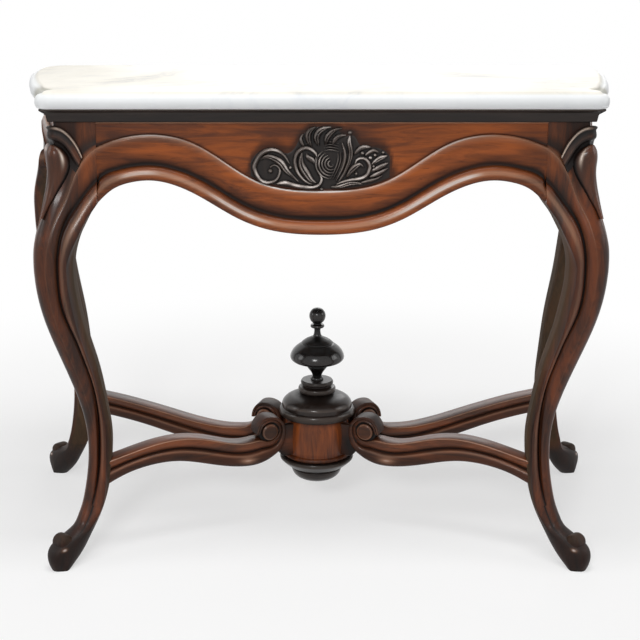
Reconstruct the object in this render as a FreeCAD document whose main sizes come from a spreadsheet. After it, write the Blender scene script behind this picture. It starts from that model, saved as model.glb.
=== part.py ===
"""Pier table: a marble slab on a walnut frame of four cabriole legs, moulded aprons and a
crossed stretcher that carries a turned hub and finial.

Millimetres. X runs along the front, Y from front to back, Z up. The origin is on the floor,
under the middle of the table. The plan is a trapezium: the back legs stand further apart.
"""
import FreeCAD, Part
import math
import os

from FreeCAD import Placement, Rotation, Vector

# ---------------------------------------------------------------- driving dimensions
SIZES = [
    ("table_height", 765, "floor to the top of the slab"),
    ("slab_thickness", 25, "marble slab"),
    ("slab_edge_radius", 8, "round on the slab's top and bottom arrises"),
    ("slab_half_depth", 225, "middle to the slab's front or back edge"),
    ("cove_height", 24, "cornice moulding between frame and slab"),
    ("cove_overhang", 14, "cornice top beyond the post faces"),
    ("cove_width", 21, "cornice strip inside the post faces"),
    ("front_half_width", 408, "middle to the outer face of a front post"),
    ("back_half_width", 475, "middle to the outer face of a back post"),
    ("post_half_depth", 204, "middle to the front or back face of the posts"),
    ("post_size", 70, "square of a leg's top block"),
    ("frieze_recess", 7, "frieze behind the post faces"),
    ("foot_half_width", 26, "half the width of a foot, across its splay"),
    ("foot_height", 95, "floor to the ankle"),
    ("rail_thickness", 28, "front and side aprons"),
    ("back_rail_thickness", 22, "back rail"),
    ("back_rail_low", 612, "underside of the back rail"),
    ("bead_width", 23, "bead along the lower edge of an apron"),
    ("quirk_width", 4, "groove between bead and ogee band"),
    ("scroll_proud", 4, "knee scroll above the post faces"),
    ("carving_proud", 9, "carved cartouche above the frieze"),
    ("arm_thickness", 32, "stretcher arm, across its plane"),
    ("root_thickness", 26, "stretcher arm where it meets the drum"),
    ("volute_height", 169, "centre of the scrolled heads above the floor"),
    ("volute_out", 82, "centre of a scrolled head from the middle, along X"),
    ("volute_deep", 45, "centre of a scrolled head from the middle, along Y"),
    ("eye_radius", 13, "round boss in a volute"),
    ("eye_proud", 3, "boss above the face of the arm"),
    ("drum_radius", 54, "turned drum of the hub"),
    ("drum_low", 118, "underside of the drum"),
    ("rim_radius", 65, "rim of the hub cap"),
    ("rim_low", 194, "underside of the cap"),
    ("hub_bottom", 75, "underside of the pendant"),
    ("ball_radius", 14, "ball on the finial"),
    ("ball_centre", 365, "height of the ball's centre"),
    ("mushroom_radius", 46, "mushroom of the finial"),
    ("block_size", 34, "glue block in a corner"),
    ("block_height", 80, "glue block in a corner"),
    ("batten_width", 45, "bearer under the slab"),
    ("batten_out", 190, "middle to the centre of a bearer"),
    ("rail_dowel_radius", 5, "dowels between rails and posts"),
    ("rail_dowel_length", 50, "dowels between rails and posts"),
    ("arm_dowel_radius", 4, "dowels at both ends of a stretcher arm"),
    ("arm_dowel_length", 36, "dowels at both ends of a stretcher arm"),
    ("hub_pin_radius", 8, "pin up the middle of the hub"),
    ("hub_pin_length", 140, "pin up the middle of the hub"),
    ("tenon_radius", 6, "tenon under the finial"),
    ("seat_radius", 11, "round seat of the finial in its collar"),
    ("ball_tenon_radius", 4, "tenon under the finial's ball"),
    ("screw_radius", 2.2, "wood screw shank"),
    ("screw_head_radius", 4.5, "wood screw head"),
    ("screw_length", 50, "wood screw"),
]

# Sawing pattern of a leg: height, then distance outwards from the post's face.
LEG_OUTER = [
    (690, 0), (604, 10), (540, 27.5), (508, 29.5), (436, 23), (367, 5),
    (294, -17.5), (230, -32), (180, -34.5), (120, -27), (70, -9),
]
TOE = [(70, -9), (66, 5), (54, 18), (30, 28.5), (10, 24), (0, 19)]
# Height, then distance inwards from the post's outer face.
LEG_INNER = [
    (0, 8), (27, 24), (46, 37), (81, 55), (120, 64), (170, 71), (210, 72.5), (257, 68),
    (330, 57), (402, 41), (450, 33.5), (500, 30), (546, 40), (575, 54.5), (597, 70),
]
# Lower edges of the aprons, and the ridges above their ogee bands: distance from the
# middle of the apron, then height. Each list is one half.
FRONT_EDGE = [(0, 547), (86, 556.5), (126, 572), (178, 602.5), (208, 618), (257, 630.5),
              (288, 627.5), (313, 618.5), (338, 597)]
FRONT_RIDGE = [(0, 615), (98, 630), (146, 659), (197, 689), (264, 700), (316, 690), (338, 681)]
SIDE_EDGE = [(0, 612), (40, 618), (76, 625), (106, 618), (136.5, 597)]
SIDE_RIDGE = [(0, 681), (40, 686), (80, 694), (136.5, 684)]
# Knee scroll: distance in from the post's outer face, then height.
SCROLL_LIP = [(-4, 711), (16, 712), (38, 697), (51, 672)]
SCROLL_TONGUE = [(44, 668), (30, 667), (22, 640), (6, 606), (-4, 594)]
# Carved cartouche on the frieze, above the ridge.
CARVING_TOP = [(-110, 640), (-104, 664), (-72, 672), (-40, 690), (0, 713), (36, 706),
               (70, 690), (98, 668), (104, 648)]
# Stretcher arms: distance along the arm from the volute's centre, then height.
FRONT_ARM_TOP = [(21, 166), (45, 161), (70, 165), (107, 176), (140, 184), (170, 185), (220, 178),
                 (292, 162)]
FRONT_ARM_LOW = [(292, 119), (250, 137), (200, 146), (160, 144.5), (110, 132), (70, 123),
                 (40, 121), (-8, 131)]
BACK_ARM_TOP = [(21, 166), (36, 153), (75, 147.5), (130, 151.5), (190, 162.5), (250, 173),
                (305, 180), (355, 184)]
BACK_ARM_LOW = [(355, 149), (295, 143.5), (239, 135.5), (200, 127.5), (166, 120), (120, 111),
                (80, 105), (30, 110), (-8, 131)]
ARM_HEAD = [(-22, 146), (-27, 168), (-19, 187), (0, 193), (16, 186)]
ARM_ROOT = [(-60, 184), (-10, 184), (-10, 138), (-34, 119), (-60, 119)]

SIDES = {"left": -1, "right": 1}
ENDS = {"front": -1, "back": 1}

doc = FreeCAD.newDocument("PierTable")
sheet = doc.addObject("Spreadsheet::Sheet", "Sizes")
for row, (alias, value, note) in enumerate(SIZES, start=1):
    sheet.set(f"A{row}", note)
    sheet.set(f"B{row}", str(value))
    sheet.setAlias(f"B{row}", alias)
doc.recompute()

nodes = []


def size(alias):
    """A driving dimension, read back from the sheet."""
    return float(sheet.get(alias))


def bind(obj, **cells):
    """Bind properties of an object to expressions on the sheet."""
    for name, expression in cells.items():
        obj.setExpression(name, expression)
    return obj


def node(obj, label):
    """Mark an object as one finished piece of the table."""
    obj.Label = label
    nodes.append(obj)
    return obj


# ---------------------------------------------------------------- small drawing helpers
def spline(points):
    curve = Part.BSplineCurve()
    curve.interpolate(points)
    return curve


def mirrored(half):
    """The whole line of points from one half, left to right."""
    return [(-a, b) for a, b in reversed(half[1:])] + half


def outline(*pieces):
    """A closed face from runs of points: two points are a line, more are a smooth curve."""
    edges = []
    for points in pieces:
        if len(points) == 2:
            edges.append(Part.LineSegment(*points).toShape())
        else:
            edges.append(spline(points).toShape())
    return Part.Face(Part.Wire(edges))


def front_view(points, y=0):
    return [Vector(a, y, b) for a, b in points]


def side_view(points, x=0):
    return [Vector(x, a, b) for a, b in points]


def drawn(name, shape):
    """A construction outline kept in the document."""
    feature = doc.addObject("Part::Feature", name)
    feature.Shape = shape
    return feature


def extruded(name, face, direction, length):
    """Extrude an outline. The length is a number or an expression on the sheet."""
    solid = doc.addObject("Part::Extrusion", name)
    solid.Base = drawn(name + "_outline", face)
    solid.DirMode = "Custom"
    solid.Dir = direction
    solid.Solid = True
    if isinstance(length, str):
        bind(solid, LengthFwd=length)
    else:
        solid.LengthFwd = length
    return solid


def boolean(kind, name, base, tool):
    result = doc.addObject(kind, name)
    result.Base = base
    result.Tool = tool
    return result


def cut(name, base, tool):
    return boolean("Part::Cut", name, base, tool)


def common(name, base, tool):
    return boolean("Part::Common", name, base, tool)


def fused(name, *parts):
    result = doc.addObject("Part::MultiFuse", name)
    result.Shapes = list(parts)
    return result


def group(name, parts):
    """Several separate solids that make one node, such as a set of screws."""
    result = doc.addObject("Part::Compound", name)
    result.Links = parts
    return result


def block(name, corner, length, width, height):
    """A box from its lowest corner, with sizes that are expressions on the sheet."""
    solid = doc.addObject("Part::Box", name)
    bind(solid, Length=length, Width=width, Height=height)
    solid.Placement.Base = corner
    return solid


def peg(name, middle, direction, radius, length):
    """A round pin, centred on a point."""
    solid = doc.addObject("Part::Cylinder", name)
    bind(solid, Radius=radius, Height=length)
    solid.recompute()
    along = Vector(*direction).normalize()
    turn = Rotation(Vector(0, 0, 1), along)
    solid.Placement = Placement(middle - along * (float(solid.Height) / 2), turn)
    return solid


def turned(name, profile):
    """A body turned about the Z axis from a profile of (radius, height) runs."""
    body = doc.addObject("PartDesign::Body", name)
    plane = [f for f in body.Origin.OriginFeatures if f.Role == "XZ_Plane"][0]
    sketch = body.newObject("Sketcher::SketchObject", name + "_profile")
    sketch.AttachmentSupport = [(plane, "")]
    sketch.MapMode = "FlatFace"
    for run in profile:
        points = [Vector(r, z, 0) for r, z in run]
        if len(points) == 2:
            sketch.addGeometry(Part.LineSegment(*points), False)
        elif len(points) == 3:
            sketch.addGeometry(Part.Arc(*points), False)
        else:
            sketch.addGeometry(spline(points), False)
    turning = body.newObject("PartDesign::Revolution", name + "_turning")
    turning.Profile = sketch
    turning.ReferenceAxis = (sketch, ["V_Axis"])
    turning.Angle = 360
    body.Tip = turning
    return body


def closed_profile(*runs):
    """Join runs end to start and close the profile along the axis."""
    joined = [list(runs[0])]
    for run in runs[1:]:
        joined.append([joined[-1][-1]] + list(run))
    first, last = joined[0][0], joined[-1][-1]
    joined.append([last, (0, last[1])])
    joined.append([(0, last[1]), (0, first[1])])
    joined.append([(0, first[1]), first])
    return joined


# ---------------------------------------------------------------- levels and faces
slab_low = size("table_height") - size("slab_thickness")
rail_top = slab_low - size("cove_height")
front_half = size("front_half_width")
back_half = size("back_half_width")
post_face = size("post_half_depth")
post = size("post_size")
frieze = post_face - size("frieze_recess")
rail = size("rail_thickness")


def half_width(end):
    return front_half if end < 0 else back_half


# ---------------------------------------------------------------- legs
def sawn(half, grow):
    """One face of the sawing pattern, for an outer face at the distance half."""
    outer = [(half + out + grow, height) for height, out in LEG_OUTER]
    toe = [(half + out + grow, height) for height, out in TOE]
    inner = [(half - inward, height) for height, inward in LEG_INNER]
    face = half + grow
    return [
        [(face, rail_top), outer[0]],
        outer,
        toe,
        [toe[-1], inner[0]],
        inner,
        [inner[-1], (half - post, rail_top)],
        [(half - post, rail_top), (face, rail_top)],
    ]


def leg_solid(name, side, end, grow=0):
    """A leg as it is sawn: the same pattern on two neighbouring faces of the blank."""
    reach = post_face + 2 * post
    across = [front_view([(side * a, b) for a, b in run]) for run in sawn(half_width(end), grow)]
    along = [side_view([(end * a, b) for a, b in run]) for run in sawn(post_face, grow)]
    front_cut = extruded(name + "_front_cut", outline(*across), Vector(0, end, 0), reach)
    side_cut = extruded(name + "_side_cut", outline(*along), Vector(side, 0, 0), 2 * back_half)
    return common(name, front_cut, side_cut)


def foot_waste(name, side, end):
    """What is sawn off a foot on both sides, to leave a toe that points to the corner."""
    edge = size("foot_half_width") * math.sqrt(2)
    prisms = []
    for flank, swap in [("x", False), ("y", True)]:
        corners = [(edge - 2 * post, -2 * post), (edge + post, post), (edge + post, -2 * post)]
        if swap:
            corners = [(v, u) for u, v in corners]
        plan = [Vector(side * (half_width(end) + u), end * (post_face + v), 0) for u, v in corners]
        face = Part.Face(Part.makePolygon(plan + plan[:1]))
        prisms.append(extruded(f"{name}_{flank}", face, Vector(0, 0, 1), "Sizes.foot_height"))
    return fused(name, *prisms)


legs = {}
for end_name, end in ENDS.items():
    for side_name, side in SIDES.items():
        name = f"{end_name}_{side_name}_leg"
        blank = leg_solid(name + "_blank", side, end)
        legs[side, end] = cut(name + "_sawn", blank, foot_waste(name + "_waste", side, end))


# ---------------------------------------------------------------- knee scrolls
def scroll_outline(half):
    lip = [(half - inward, height) for inward, height in SCROLL_LIP]
    tongue = [(half - inward, height) for inward, height in SCROLL_TONGUE]
    return [lip, [lip[-1], tongue[0]], tongue, [tongue[-1], lip[0]]]


def corner_column(side, end):
    """The corner of the table that holds one knee, as a tall block."""
    half = half_width(end)
    x0 = half - post if side > 0 else -half - post
    y0 = post_face - post if end > 0 else -post_face - post
    return Part.makeBox(2 * post, 2 * post, rail_top, Vector(x0, y0, 0))


def knee_scroll(name, side, end, leg):
    """Leaf and tongue carved round the corner of a post: a thin shell on both faces."""
    skin = leg_solid(name + "_skin", side, end, size("scroll_proud"))
    across = [front_view([(side * a, b) for a, b in run])
              for run in scroll_outline(half_width(end))]
    along = [side_view([(end * a, b) for a, b in run]) for run in scroll_outline(post_face)]
    depth = post_face + 2 * post
    front_leaf = extruded(name + "_front_leaf", outline(*across), Vector(0, end, 0), depth)
    side_leaf = extruded(name + "_side_leaf", outline(*along), Vector(side, 0, 0), 2 * back_half)
    column = drawn(name + "_keep", corner_column(side, end))
    leaves = common(name + "_corner", fused(name + "_leaves", front_leaf, side_leaf), column)
    return cut(name, common(name + "_shell", skin, leaves), leg)


scrolls = {}
for end_name, end in ENDS.items():
    for side_name, side in SIDES.items():
        name = f"{end_name}_{side_name}_knee_scroll"
        scrolls[side, end] = knee_scroll(name + "_shape", side, end, legs[side, end])
        node(scrolls[side, end], name)


# ---------------------------------------------------------------- aprons
def parallel(half, distance):
    """The same line moved up by a distance along its normal."""
    curve = spline([Vector(a, b, 0) for a, b in mirrored(half)])
    first, last = curve.FirstParameter, curve.LastParameter
    moved = []
    count = 2 * len(half)
    for step in range(count + 1):
        u = first + (last - first) * step / count
        point = curve.value(u)
        tangent = curve.tangent(u)[0]
        moved.append((point.x - tangent.y * distance, point.y + tangent.x * distance))
    return moved


def strip(low, high):
    """The face between two lines that run left to right."""
    low = front_view(low)
    high = front_view(high)
    return outline(low, [low[-1], high[-1]], list(reversed(high)), [high[0], low[0]])


def clipped(name, solid, half_length):
    """Cut a strip off square at both ends of the apron."""
    gauge = Part.makeBox(2 * half_length, 4 * rail, rail_top, Vector(-half_length, -2 * rail, 0))
    return common(name, solid, drawn(name + "_gauge", gauge))


def apron(name, edge, ridge):
    """An apron in its own frame: its frieze faces -Y at Y = 0 and it is centred on X."""
    half_length = edge[-1][0]
    low = mirrored(edge)
    board_face = outline(front_view(low), front_view([low[-1], (half_length, rail_top)]),
                         front_view([(half_length, rail_top), (-half_length, rail_top)]),
                         front_view([(-half_length, rail_top), low[0]]))
    board = extruded(name + "_board", board_face, Vector(0, 1, 0), "Sizes.rail_thickness")
    bead_top = parallel(edge, size("bead_width"))
    band_low = parallel(edge, size("bead_width") + size("quirk_width"))
    forward = Vector(0, -1, 0)
    bead = extruded(name + "_bead", strip(low, bead_top), forward, "Sizes.frieze_recess")
    band = extruded(name + "_band", strip(band_low, mirrored(ridge)), forward,
                    "Sizes.frieze_recess")
    relief = clipped(name + "_relief", fused(name + "_mouldings", bead, band), half_length)
    return fused(name, board, relief)


def placed(obj, base, turn=0.0):
    obj.Placement = Placement(base, Rotation(Vector(0, 0, 1), turn))
    return obj


def scribed(name, piece, corners):
    """Cut the ends of a piece to the legs and scrolls that it meets."""
    neighbours = [legs[corner] for corner in corners] + [scrolls[corner] for corner in corners]
    return cut(name, piece, fused(name + "_neighbours", *neighbours))


front_apron = scribed("front_apron_shape",
                      placed(apron("front_apron_blank", FRONT_EDGE, FRONT_RIDGE),
                             Vector(0, -frieze, 0)),
                      [(-1, -1), (1, -1)])

# A side apron runs between the inner faces of two posts that stand at different widths, so
# its frieze meets the front post a little further out, and the back post a little further in.
SPLAY_FRONT = 4
SPLAY_BACK = -11
side_run = 2 * (post_face - post)
side_front_x = front_half - size("frieze_recess") + SPLAY_FRONT
side_back_x = back_half - size("frieze_recess") + SPLAY_BACK
side_angle = math.degrees(math.atan2(side_back_x - side_front_x, side_run))
side_aprons = {}
for side_name, side in SIDES.items():
    blank = apron(f"{side_name}_side_apron_blank", SIDE_EDGE, SIDE_RIDGE)
    middle = Vector(side * (side_front_x + side_back_x) / 2, 0, 0)
    side_aprons[side] = scribed(f"{side_name}_side_apron_shape",
                                placed(blank, middle, side * (90 - side_angle)),
                                [(side, -1), (side, 1)])

BACK_RAIL_SETBACK = 8
back_low = size("back_rail_low")
back_face = post_face - BACK_RAIL_SETBACK
back_rail = block("back_rail_board",
                  Vector(-(back_half - post), back_face - size("back_rail_thickness"), back_low),
                  "2 * (Sizes.back_half_width - Sizes.post_size)", "Sizes.back_rail_thickness",
                  "Sizes.table_height - Sizes.slab_thickness - Sizes.cove_height"
                  " - Sizes.back_rail_low")


# ---------------------------------------------------------------- carved cartouche
def carving():
    """A low plate on the frieze with the outline of the carving, resting on the ridge."""
    ridge = [(x, z) for x, z in mirrored(FRONT_RIDGE) if abs(x) < 100]
    low = [CARVING_TOP[0]] + ridge + [CARVING_TOP[-1]]
    face = outline(front_view(CARVING_TOP, -frieze), front_view(list(reversed(low)), -frieze))
    plate = extruded("carving_plate", face, Vector(0, -1, 0), "Sizes.carving_proud")
    return cut("carving_shape", plate, front_apron)


cartouche = carving()

# ---------------------------------------------------------------- cornice
CORNERS = [(-front_half, -post_face), (front_half, -post_face),
           (back_half, post_face), (-back_half, post_face)]
BACK_LINE = 2


def side_line(index):
    """Start corner, unit direction and outward normal of one side of the plan."""
    x0, y0 = CORNERS[index % 4]
    x1, y1 = CORNERS[(index + 1) % 4]
    start = Vector(x0, y0, 0)
    along = Vector(x1 - x0, y1 - y0, 0).normalize()
    return start, along, Vector(along.y, -along.x, 0)


def plan_corner(index, out):
    """The corner of the plan after its two sides have moved outwards, all but the back."""
    start_a, along_a, normal_a = side_line(index - 1)
    start_b, along_b, normal_b = side_line(index)
    start_a = start_a + normal_a * (min(out, 0) if (index - 1) % 4 == BACK_LINE else out)
    start_b = start_b + normal_b * (min(out, 0) if index % 4 == BACK_LINE else out)
    gap = start_b - start_a
    turn = along_a.x * along_b.y - along_a.y * along_b.x
    reach = (gap.x * along_b.y - gap.y * along_b.x) / turn
    return start_a + along_a * reach


def cornice_strip(name, index, section):
    """A moulded strip along one side of the plan, mitred into its neighbours."""
    start, along, normal = side_line(index)
    runs = [[start - along * post + normal * out + Vector(0, 0, z) for out, z in run]
            for run in section]
    length = 2 * (back_half + post)
    strip_blank = extruded(name + "_moulding", outline(*runs), along, length)
    steps = [0, -2 * size("cove_width")]
    if index != BACK_LINE:
        steps = [2 * size("cove_overhang")] + steps
    corners = [plan_corner(index, step) for step in steps]
    corners += [plan_corner(index + 1, step) for step in reversed(steps)]
    mitre = Part.Face(Part.makePolygon(corners + corners[:1]))
    mitre.translate(Vector(0, 0, rail_top))
    wedge = extruded(name + "_mitre", mitre, Vector(0, 0, 1), "Sizes.cove_height")
    return common(name + "_shape", strip_blank, wedge)


cove_in = -size("cove_width")
overhang = size("cove_overhang")
# Distance outwards from the post faces, then height: a small step, the hollow and a fillet.
COVE_STEP = 2
step_top = rail_top + 4
hollow_middle = (4, rail_top + 14)
hollow_top = (overhang - 1, slab_low - 4)
fillet_low = (overhang, slab_low - 3)
COVE_SECTION = [
    [(cove_in, rail_top), (COVE_STEP, rail_top)],
    [(COVE_STEP, rail_top), (COVE_STEP, step_top)],
    [(COVE_STEP, step_top), hollow_middle, hollow_top],
    [hollow_top, fillet_low],
    [fillet_low, (overhang, slab_low)],
    [(overhang, slab_low), (cove_in, slab_low)],
    [(cove_in, slab_low), (cove_in, rail_top)],
]
PLAIN_SECTION = [
    [(cove_in, rail_top), (0, rail_top)],
    [(0, rail_top), (0, slab_low)],
    [(0, slab_low), (cove_in, slab_low)],
    [(cove_in, slab_low), (cove_in, rail_top)],
]
for index, name, section in [(0, "front_cornice", COVE_SECTION), (1, "right_cornice", COVE_SECTION),
                             (2, "back_top_strip", PLAIN_SECTION), (3, "left_cornice", COVE_SECTION)]:
    node(cornice_strip(name, index, section), name)

# ---------------------------------------------------------------- marble slab
SLAB_LOBE = [(410, -225), (424, -218), (429, -200), (427, -183), (420, -168)]
SLAB_SIDE = [(420, -168), (434, -151), (441, -125), (457, -65), (472, 0), (486, 75),
             (492, 135), (487, 185), (466, 216), (436, 225)]


def slab():
    """The slab: straight front, small lobed corners, sides that swell to the back."""
    body = doc.addObject("PartDesign::Body", "slab_body")
    plane = [f for f in body.Origin.OriginFeatures if f.Role == "XY_Plane"][0]
    sketch = body.newObject("Sketcher::SketchObject", "slab_plan")
    sketch.AttachmentSupport = [(plane, "")]
    sketch.MapMode = "FlatFace"
    sketch.AttachmentOffset = Placement(Vector(0, 0, slab_low), Rotation())
    right = [SLAB_LOBE, SLAB_SIDE]
    left = [[(-x, y) for x, y in reversed(run)] for run in reversed(right)]
    straight_back = [right[-1][-1], left[0][0]]
    straight_front = [left[-1][-1], right[0][0]]
    for run in right + [straight_back] + left + [straight_front]:
        points = [Vector(x, y, 0) for x, y in run]
        curve = Part.LineSegment(*points) if len(points) == 2 else spline(points)
        sketch.addGeometry(curve, False)
    pad = body.newObject("PartDesign::Pad", "slab_pad")
    pad.Profile = sketch
    bind(pad, Length="Sizes.slab_thickness")
    body.Tip = pad
    doc.recompute()
    level = [f"Edge{n}" for n, edge in enumerate(pad.Shape.Edges, start=1)
             if edge.BoundBox.ZLength < 1e-6]
    round_over = body.newObject("PartDesign::Fillet", "slab_round")
    round_over.Base = (pad, level)
    bind(round_over, Radius="Sizes.slab_edge_radius")
    body.Tip = round_over
    return body


node(slab(), "marble_top")

# ---------------------------------------------------------------- hub and finial
drum_radius = size("drum_radius")
drum_low = size("drum_low")
rim = size("rim_radius")
rim_low = size("rim_low")
hub_bottom = size("hub_bottom")
ball = size("ball_radius")
ball_z = size("ball_centre")
mushroom = size("mushroom_radius")

tenon = size("tenon_radius")
ball_tenon = size("ball_tenon_radius")

CAP_TOP = 230
COLLAR_TOP = 252
BULGE_SEAT = 247
TENON_LOW = 236
MUSHROOM_TOP = 329
BALL_TENON_LOW = 316
PIN_MIDDLE = 162

drum_blank = turned("drum_blank", closed_profile(
    [(drum_radius - 3, drum_low), (drum_radius, drum_low + 4)],
    [(drum_radius + 1, (drum_low + rim_low) / 2), (drum_radius - 2, rim_low)]))
base_blank = turned("base_blank", closed_profile(
    [(25, hub_bottom), (34, hub_bottom + 3), (41, hub_bottom + 11), (44, hub_bottom + 22)],
    [(43, drum_low - 19)], [(47, drum_low - 11), (43, drum_low - 3)], [(43, drum_low)]))
cap_blank = turned("cap_blank", closed_profile(
    [(rim - 3, rim_low), (rim, rim_low + 5.5), (rim - 3, rim_low + 11)],
    [(57, rim_low + 19), (42, rim_low + 27), (27, CAP_TOP)]))
collar_blank = turned("collar_blank", closed_profile(
    [(28, CAP_TOP), (32, CAP_TOP + 5.5), (28, CAP_TOP + 11)], [(25, CAP_TOP + 13)],
    [(27.5, CAP_TOP + 17), (27, COLLAR_TOP)]))
mushroom_blank = turned("finial_mushroom_blank", closed_profile(
    [(tenon, TENON_LOW), (tenon, BULGE_SEAT)], [(8, BULGE_SEAT)],
    [(10.5, 254), (8, 262), (16, 275)],
    [(36, 282), (mushroom, 292), (40, 305), (27, 316)],
    [(26, 318)], [(18, 325), (8, MUSHROOM_TOP)]))
node(turned("finial_ball_turning", closed_profile(
    [(ball_tenon, BALL_TENON_LOW), (ball_tenon, MUSHROOM_TOP)], [(8, MUSHROOM_TOP)],
    [(5.5, 334), (5.5, 344)], [(11.5, 346)],
    [(11.5, 349)], [(7, 353)], [(ball, ball_z), (0.01, ball_z + ball)])), "finial_ball")


# ---------------------------------------------------------------- stretcher arms
LEG_AXIS_IN = 53


def arm_frame(side, end):
    """Where an arm starts, and the angle it makes with the X axis in plan."""
    start = Vector(side * size("volute_out"), end * size("volute_deep"), 0)
    goal = Vector(side * (half_width(end) - LEG_AXIS_IN), end * (post_face - LEG_AXIS_IN), 0)
    return start, (goal - start)


def arm_blank(name, side, end):
    """A sawn arm: an S-curve with a scrolled head and a root that meets the drum."""
    top, low = (FRONT_ARM_TOP, FRONT_ARM_LOW) if end < 0 else (BACK_ARM_TOP, BACK_ARM_LOW)
    start, run = arm_frame(side, end)
    thick = size("arm_thickness")
    head = [low[-1]] + ARM_HEAD + [top[0]]
    blade_face = outline(front_view(top, -thick / 2), front_view([top[-1], low[0]], -thick / 2),
                         front_view(low, -thick / 2), front_view(head, -thick / 2))
    blade = extruded(name + "_blade", blade_face, Vector(0, 1, 0), "Sizes.arm_thickness")
    corners = front_view(ARM_ROOT + ARM_ROOT[:1], -size("root_thickness") / 2)
    root = extruded(name + "_root", Part.Face(Part.makePolygon(corners)), Vector(0, 1, 0),
                    "Sizes.root_thickness")
    eye = peg(name + "_eye", Vector(0, 0, size("volute_height")), (0, 1, 0),
              "Sizes.eye_radius", "Sizes.arm_thickness + 2 * Sizes.eye_proud")
    arm = fused(name, blade, root, eye)
    arm.Placement = Placement(start, Rotation(Vector(1, 0, 0), run))
    return arm


arms = {}
for end_name, end in ENDS.items():
    for side_name, side in SIDES.items():
        name = f"{end_name}_{side_name}_stretcher"
        fitted = cut(name + "_fitted", arm_blank(name + "_blank", side, end), legs[side, end])
        arms[side, end] = cut(name + "_shouldered", fitted, drum_blank)

# ---------------------------------------------------------------- glue blocks and bearers
BLOCK_LOW = 628
block_side = size("block_size")
inner_rail = {-1: -frieze + rail, 1: back_face - size("back_rail_thickness")}
blocks = {}
for end_name, end in ENDS.items():
    for side_name, side in SIDES.items():
        post_inside = half_width(end) - post
        x = post_inside - block_side if side > 0 else -post_inside
        y = inner_rail[end] if end < 0 else inner_rail[end] - block_side
        blocks[side, end] = block(f"{end_name}_{side_name}_block_blank", Vector(x, y, BLOCK_LOW),
                                  "Sizes.block_size", "Sizes.block_size", "Sizes.block_height")

bearers = {}
for side_name, side in SIDES.items():
    corner = Vector(side * size("batten_out") - size("batten_width") / 2,
                    -post_face - cove_in, rail_top)
    bearers[side] = block(f"{side_name}_bearer_blank", corner, "Sizes.batten_width",
                          "2 * (Sizes.post_half_depth - Sizes.cove_width)", "Sizes.cove_height")

# ---------------------------------------------------------------- dowels and screws
DOWEL_HEIGHTS = (634, 692)
RAIL_SCREW_HEIGHT = 656
POST_SCREW_HEIGHT = 674
ARM_DOWEL_HEIGHT = 148
LEG_DOWEL_IN = 20
HUB_DOWEL_OUT = -43
HEAD_HEIGHT = 3
BEARER_SCREW_IN = 26
BEARER_SCREW_SUNK = 0.5

rail_middle = {-1: -frieze + rail / 2, 1: back_face - size("back_rail_thickness") / 2}
rail_dowels = []
for side in SIDES.values():
    for end in ENDS.values():
        for z in DOWEL_HEIGHTS:
            across = Vector(side * (half_width(end) - post), rail_middle[end], z)
            side_x = (side_front_x if end < 0 else side_back_x) - rail / 2
            along = Vector(side * side_x, end * (post_face - post), z)
            for middle, direction in [(across, (1, 0, 0)), (along, (0, 1, 0))]:
                rail_dowels.append(peg("rail_dowel", middle, direction,
                                       "Sizes.rail_dowel_radius", "Sizes.rail_dowel_length"))

leg_arm_dowels = []
hub_arm_dowels = []
for side in SIDES.values():
    for end in ENDS.values():
        start, run = arm_frame(side, end)
        unit = Vector(run).normalize()
        for reach, dowels in [(run.Length - LEG_DOWEL_IN, leg_arm_dowels),
                              (HUB_DOWEL_OUT, hub_arm_dowels)]:
            middle = start + unit * reach + Vector(0, 0, ARM_DOWEL_HEIGHT)
            dowels.append(peg("arm_dowel", middle, unit, "Sizes.arm_dowel_radius",
                              "Sizes.arm_dowel_length"))

hub_pin = peg("hub_pin", Vector(0, 0, PIN_MIDDLE), (0, 0, 1), "Sizes.hub_pin_radius",
              "Sizes.hub_pin_length")


def screw(name, head, direction):
    """A countersunk wood screw, from the middle of its head."""
    turn = Placement(head, Rotation(Vector(0, 0, 1), Vector(*direction)))
    cone = doc.addObject("Part::Cone", name + "_head")
    bind(cone, Radius1="Sizes.screw_head_radius", Radius2="Sizes.screw_radius")
    cone.Height = HEAD_HEIGHT
    shank = doc.addObject("Part::Cylinder", name + "_shank")
    bind(shank, Radius="Sizes.screw_radius", Height="Sizes.screw_length")
    cone.Placement = turn
    shank.Placement = turn
    return fused(name, cone, shank)


block_screws = []
for (side, end), glue_block in blocks.items():
    centre = glue_block.Placement.Base + Vector(block_side / 2, block_side / 2, 0)
    rail_head = Vector(centre.x, centre.y - end * block_side / 2, RAIL_SCREW_HEIGHT)
    post_head = Vector(centre.x - side * block_side / 2, centre.y, POST_SCREW_HEIGHT)
    block_screws.append(screw("block_screw", rail_head, (0, end, 0)))
    block_screws.append(screw("block_screw", post_head, (side, 0, 0)))

bearer_screws = []
for side in SIDES.values():
    for end in ENDS.values():
        head = Vector(side * size("batten_out"), end * (post_face - BEARER_SCREW_IN),
                      slab_low - BEARER_SCREW_SUNK)
        bearer_screws.append(screw("bearer_screw", head, (0, 0, -1)))

doc.recompute()
pins = rail_dowels + leg_arm_dowels + hub_arm_dowels + [hub_pin] + block_screws + bearer_screws


def drilled(label, blank):
    """Bore a piece for every dowel and screw that enters it."""
    tools = [pin for pin in pins if pin.Shape.BoundBox.intersect(blank.Shape.BoundBox)
             and pin.Shape.common(blank.Shape).Volume > 1]
    if not tools:
        return node(blank, label)
    return node(cut(label + "_bored", blank, group(label + "_bores", tools)), label)


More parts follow.
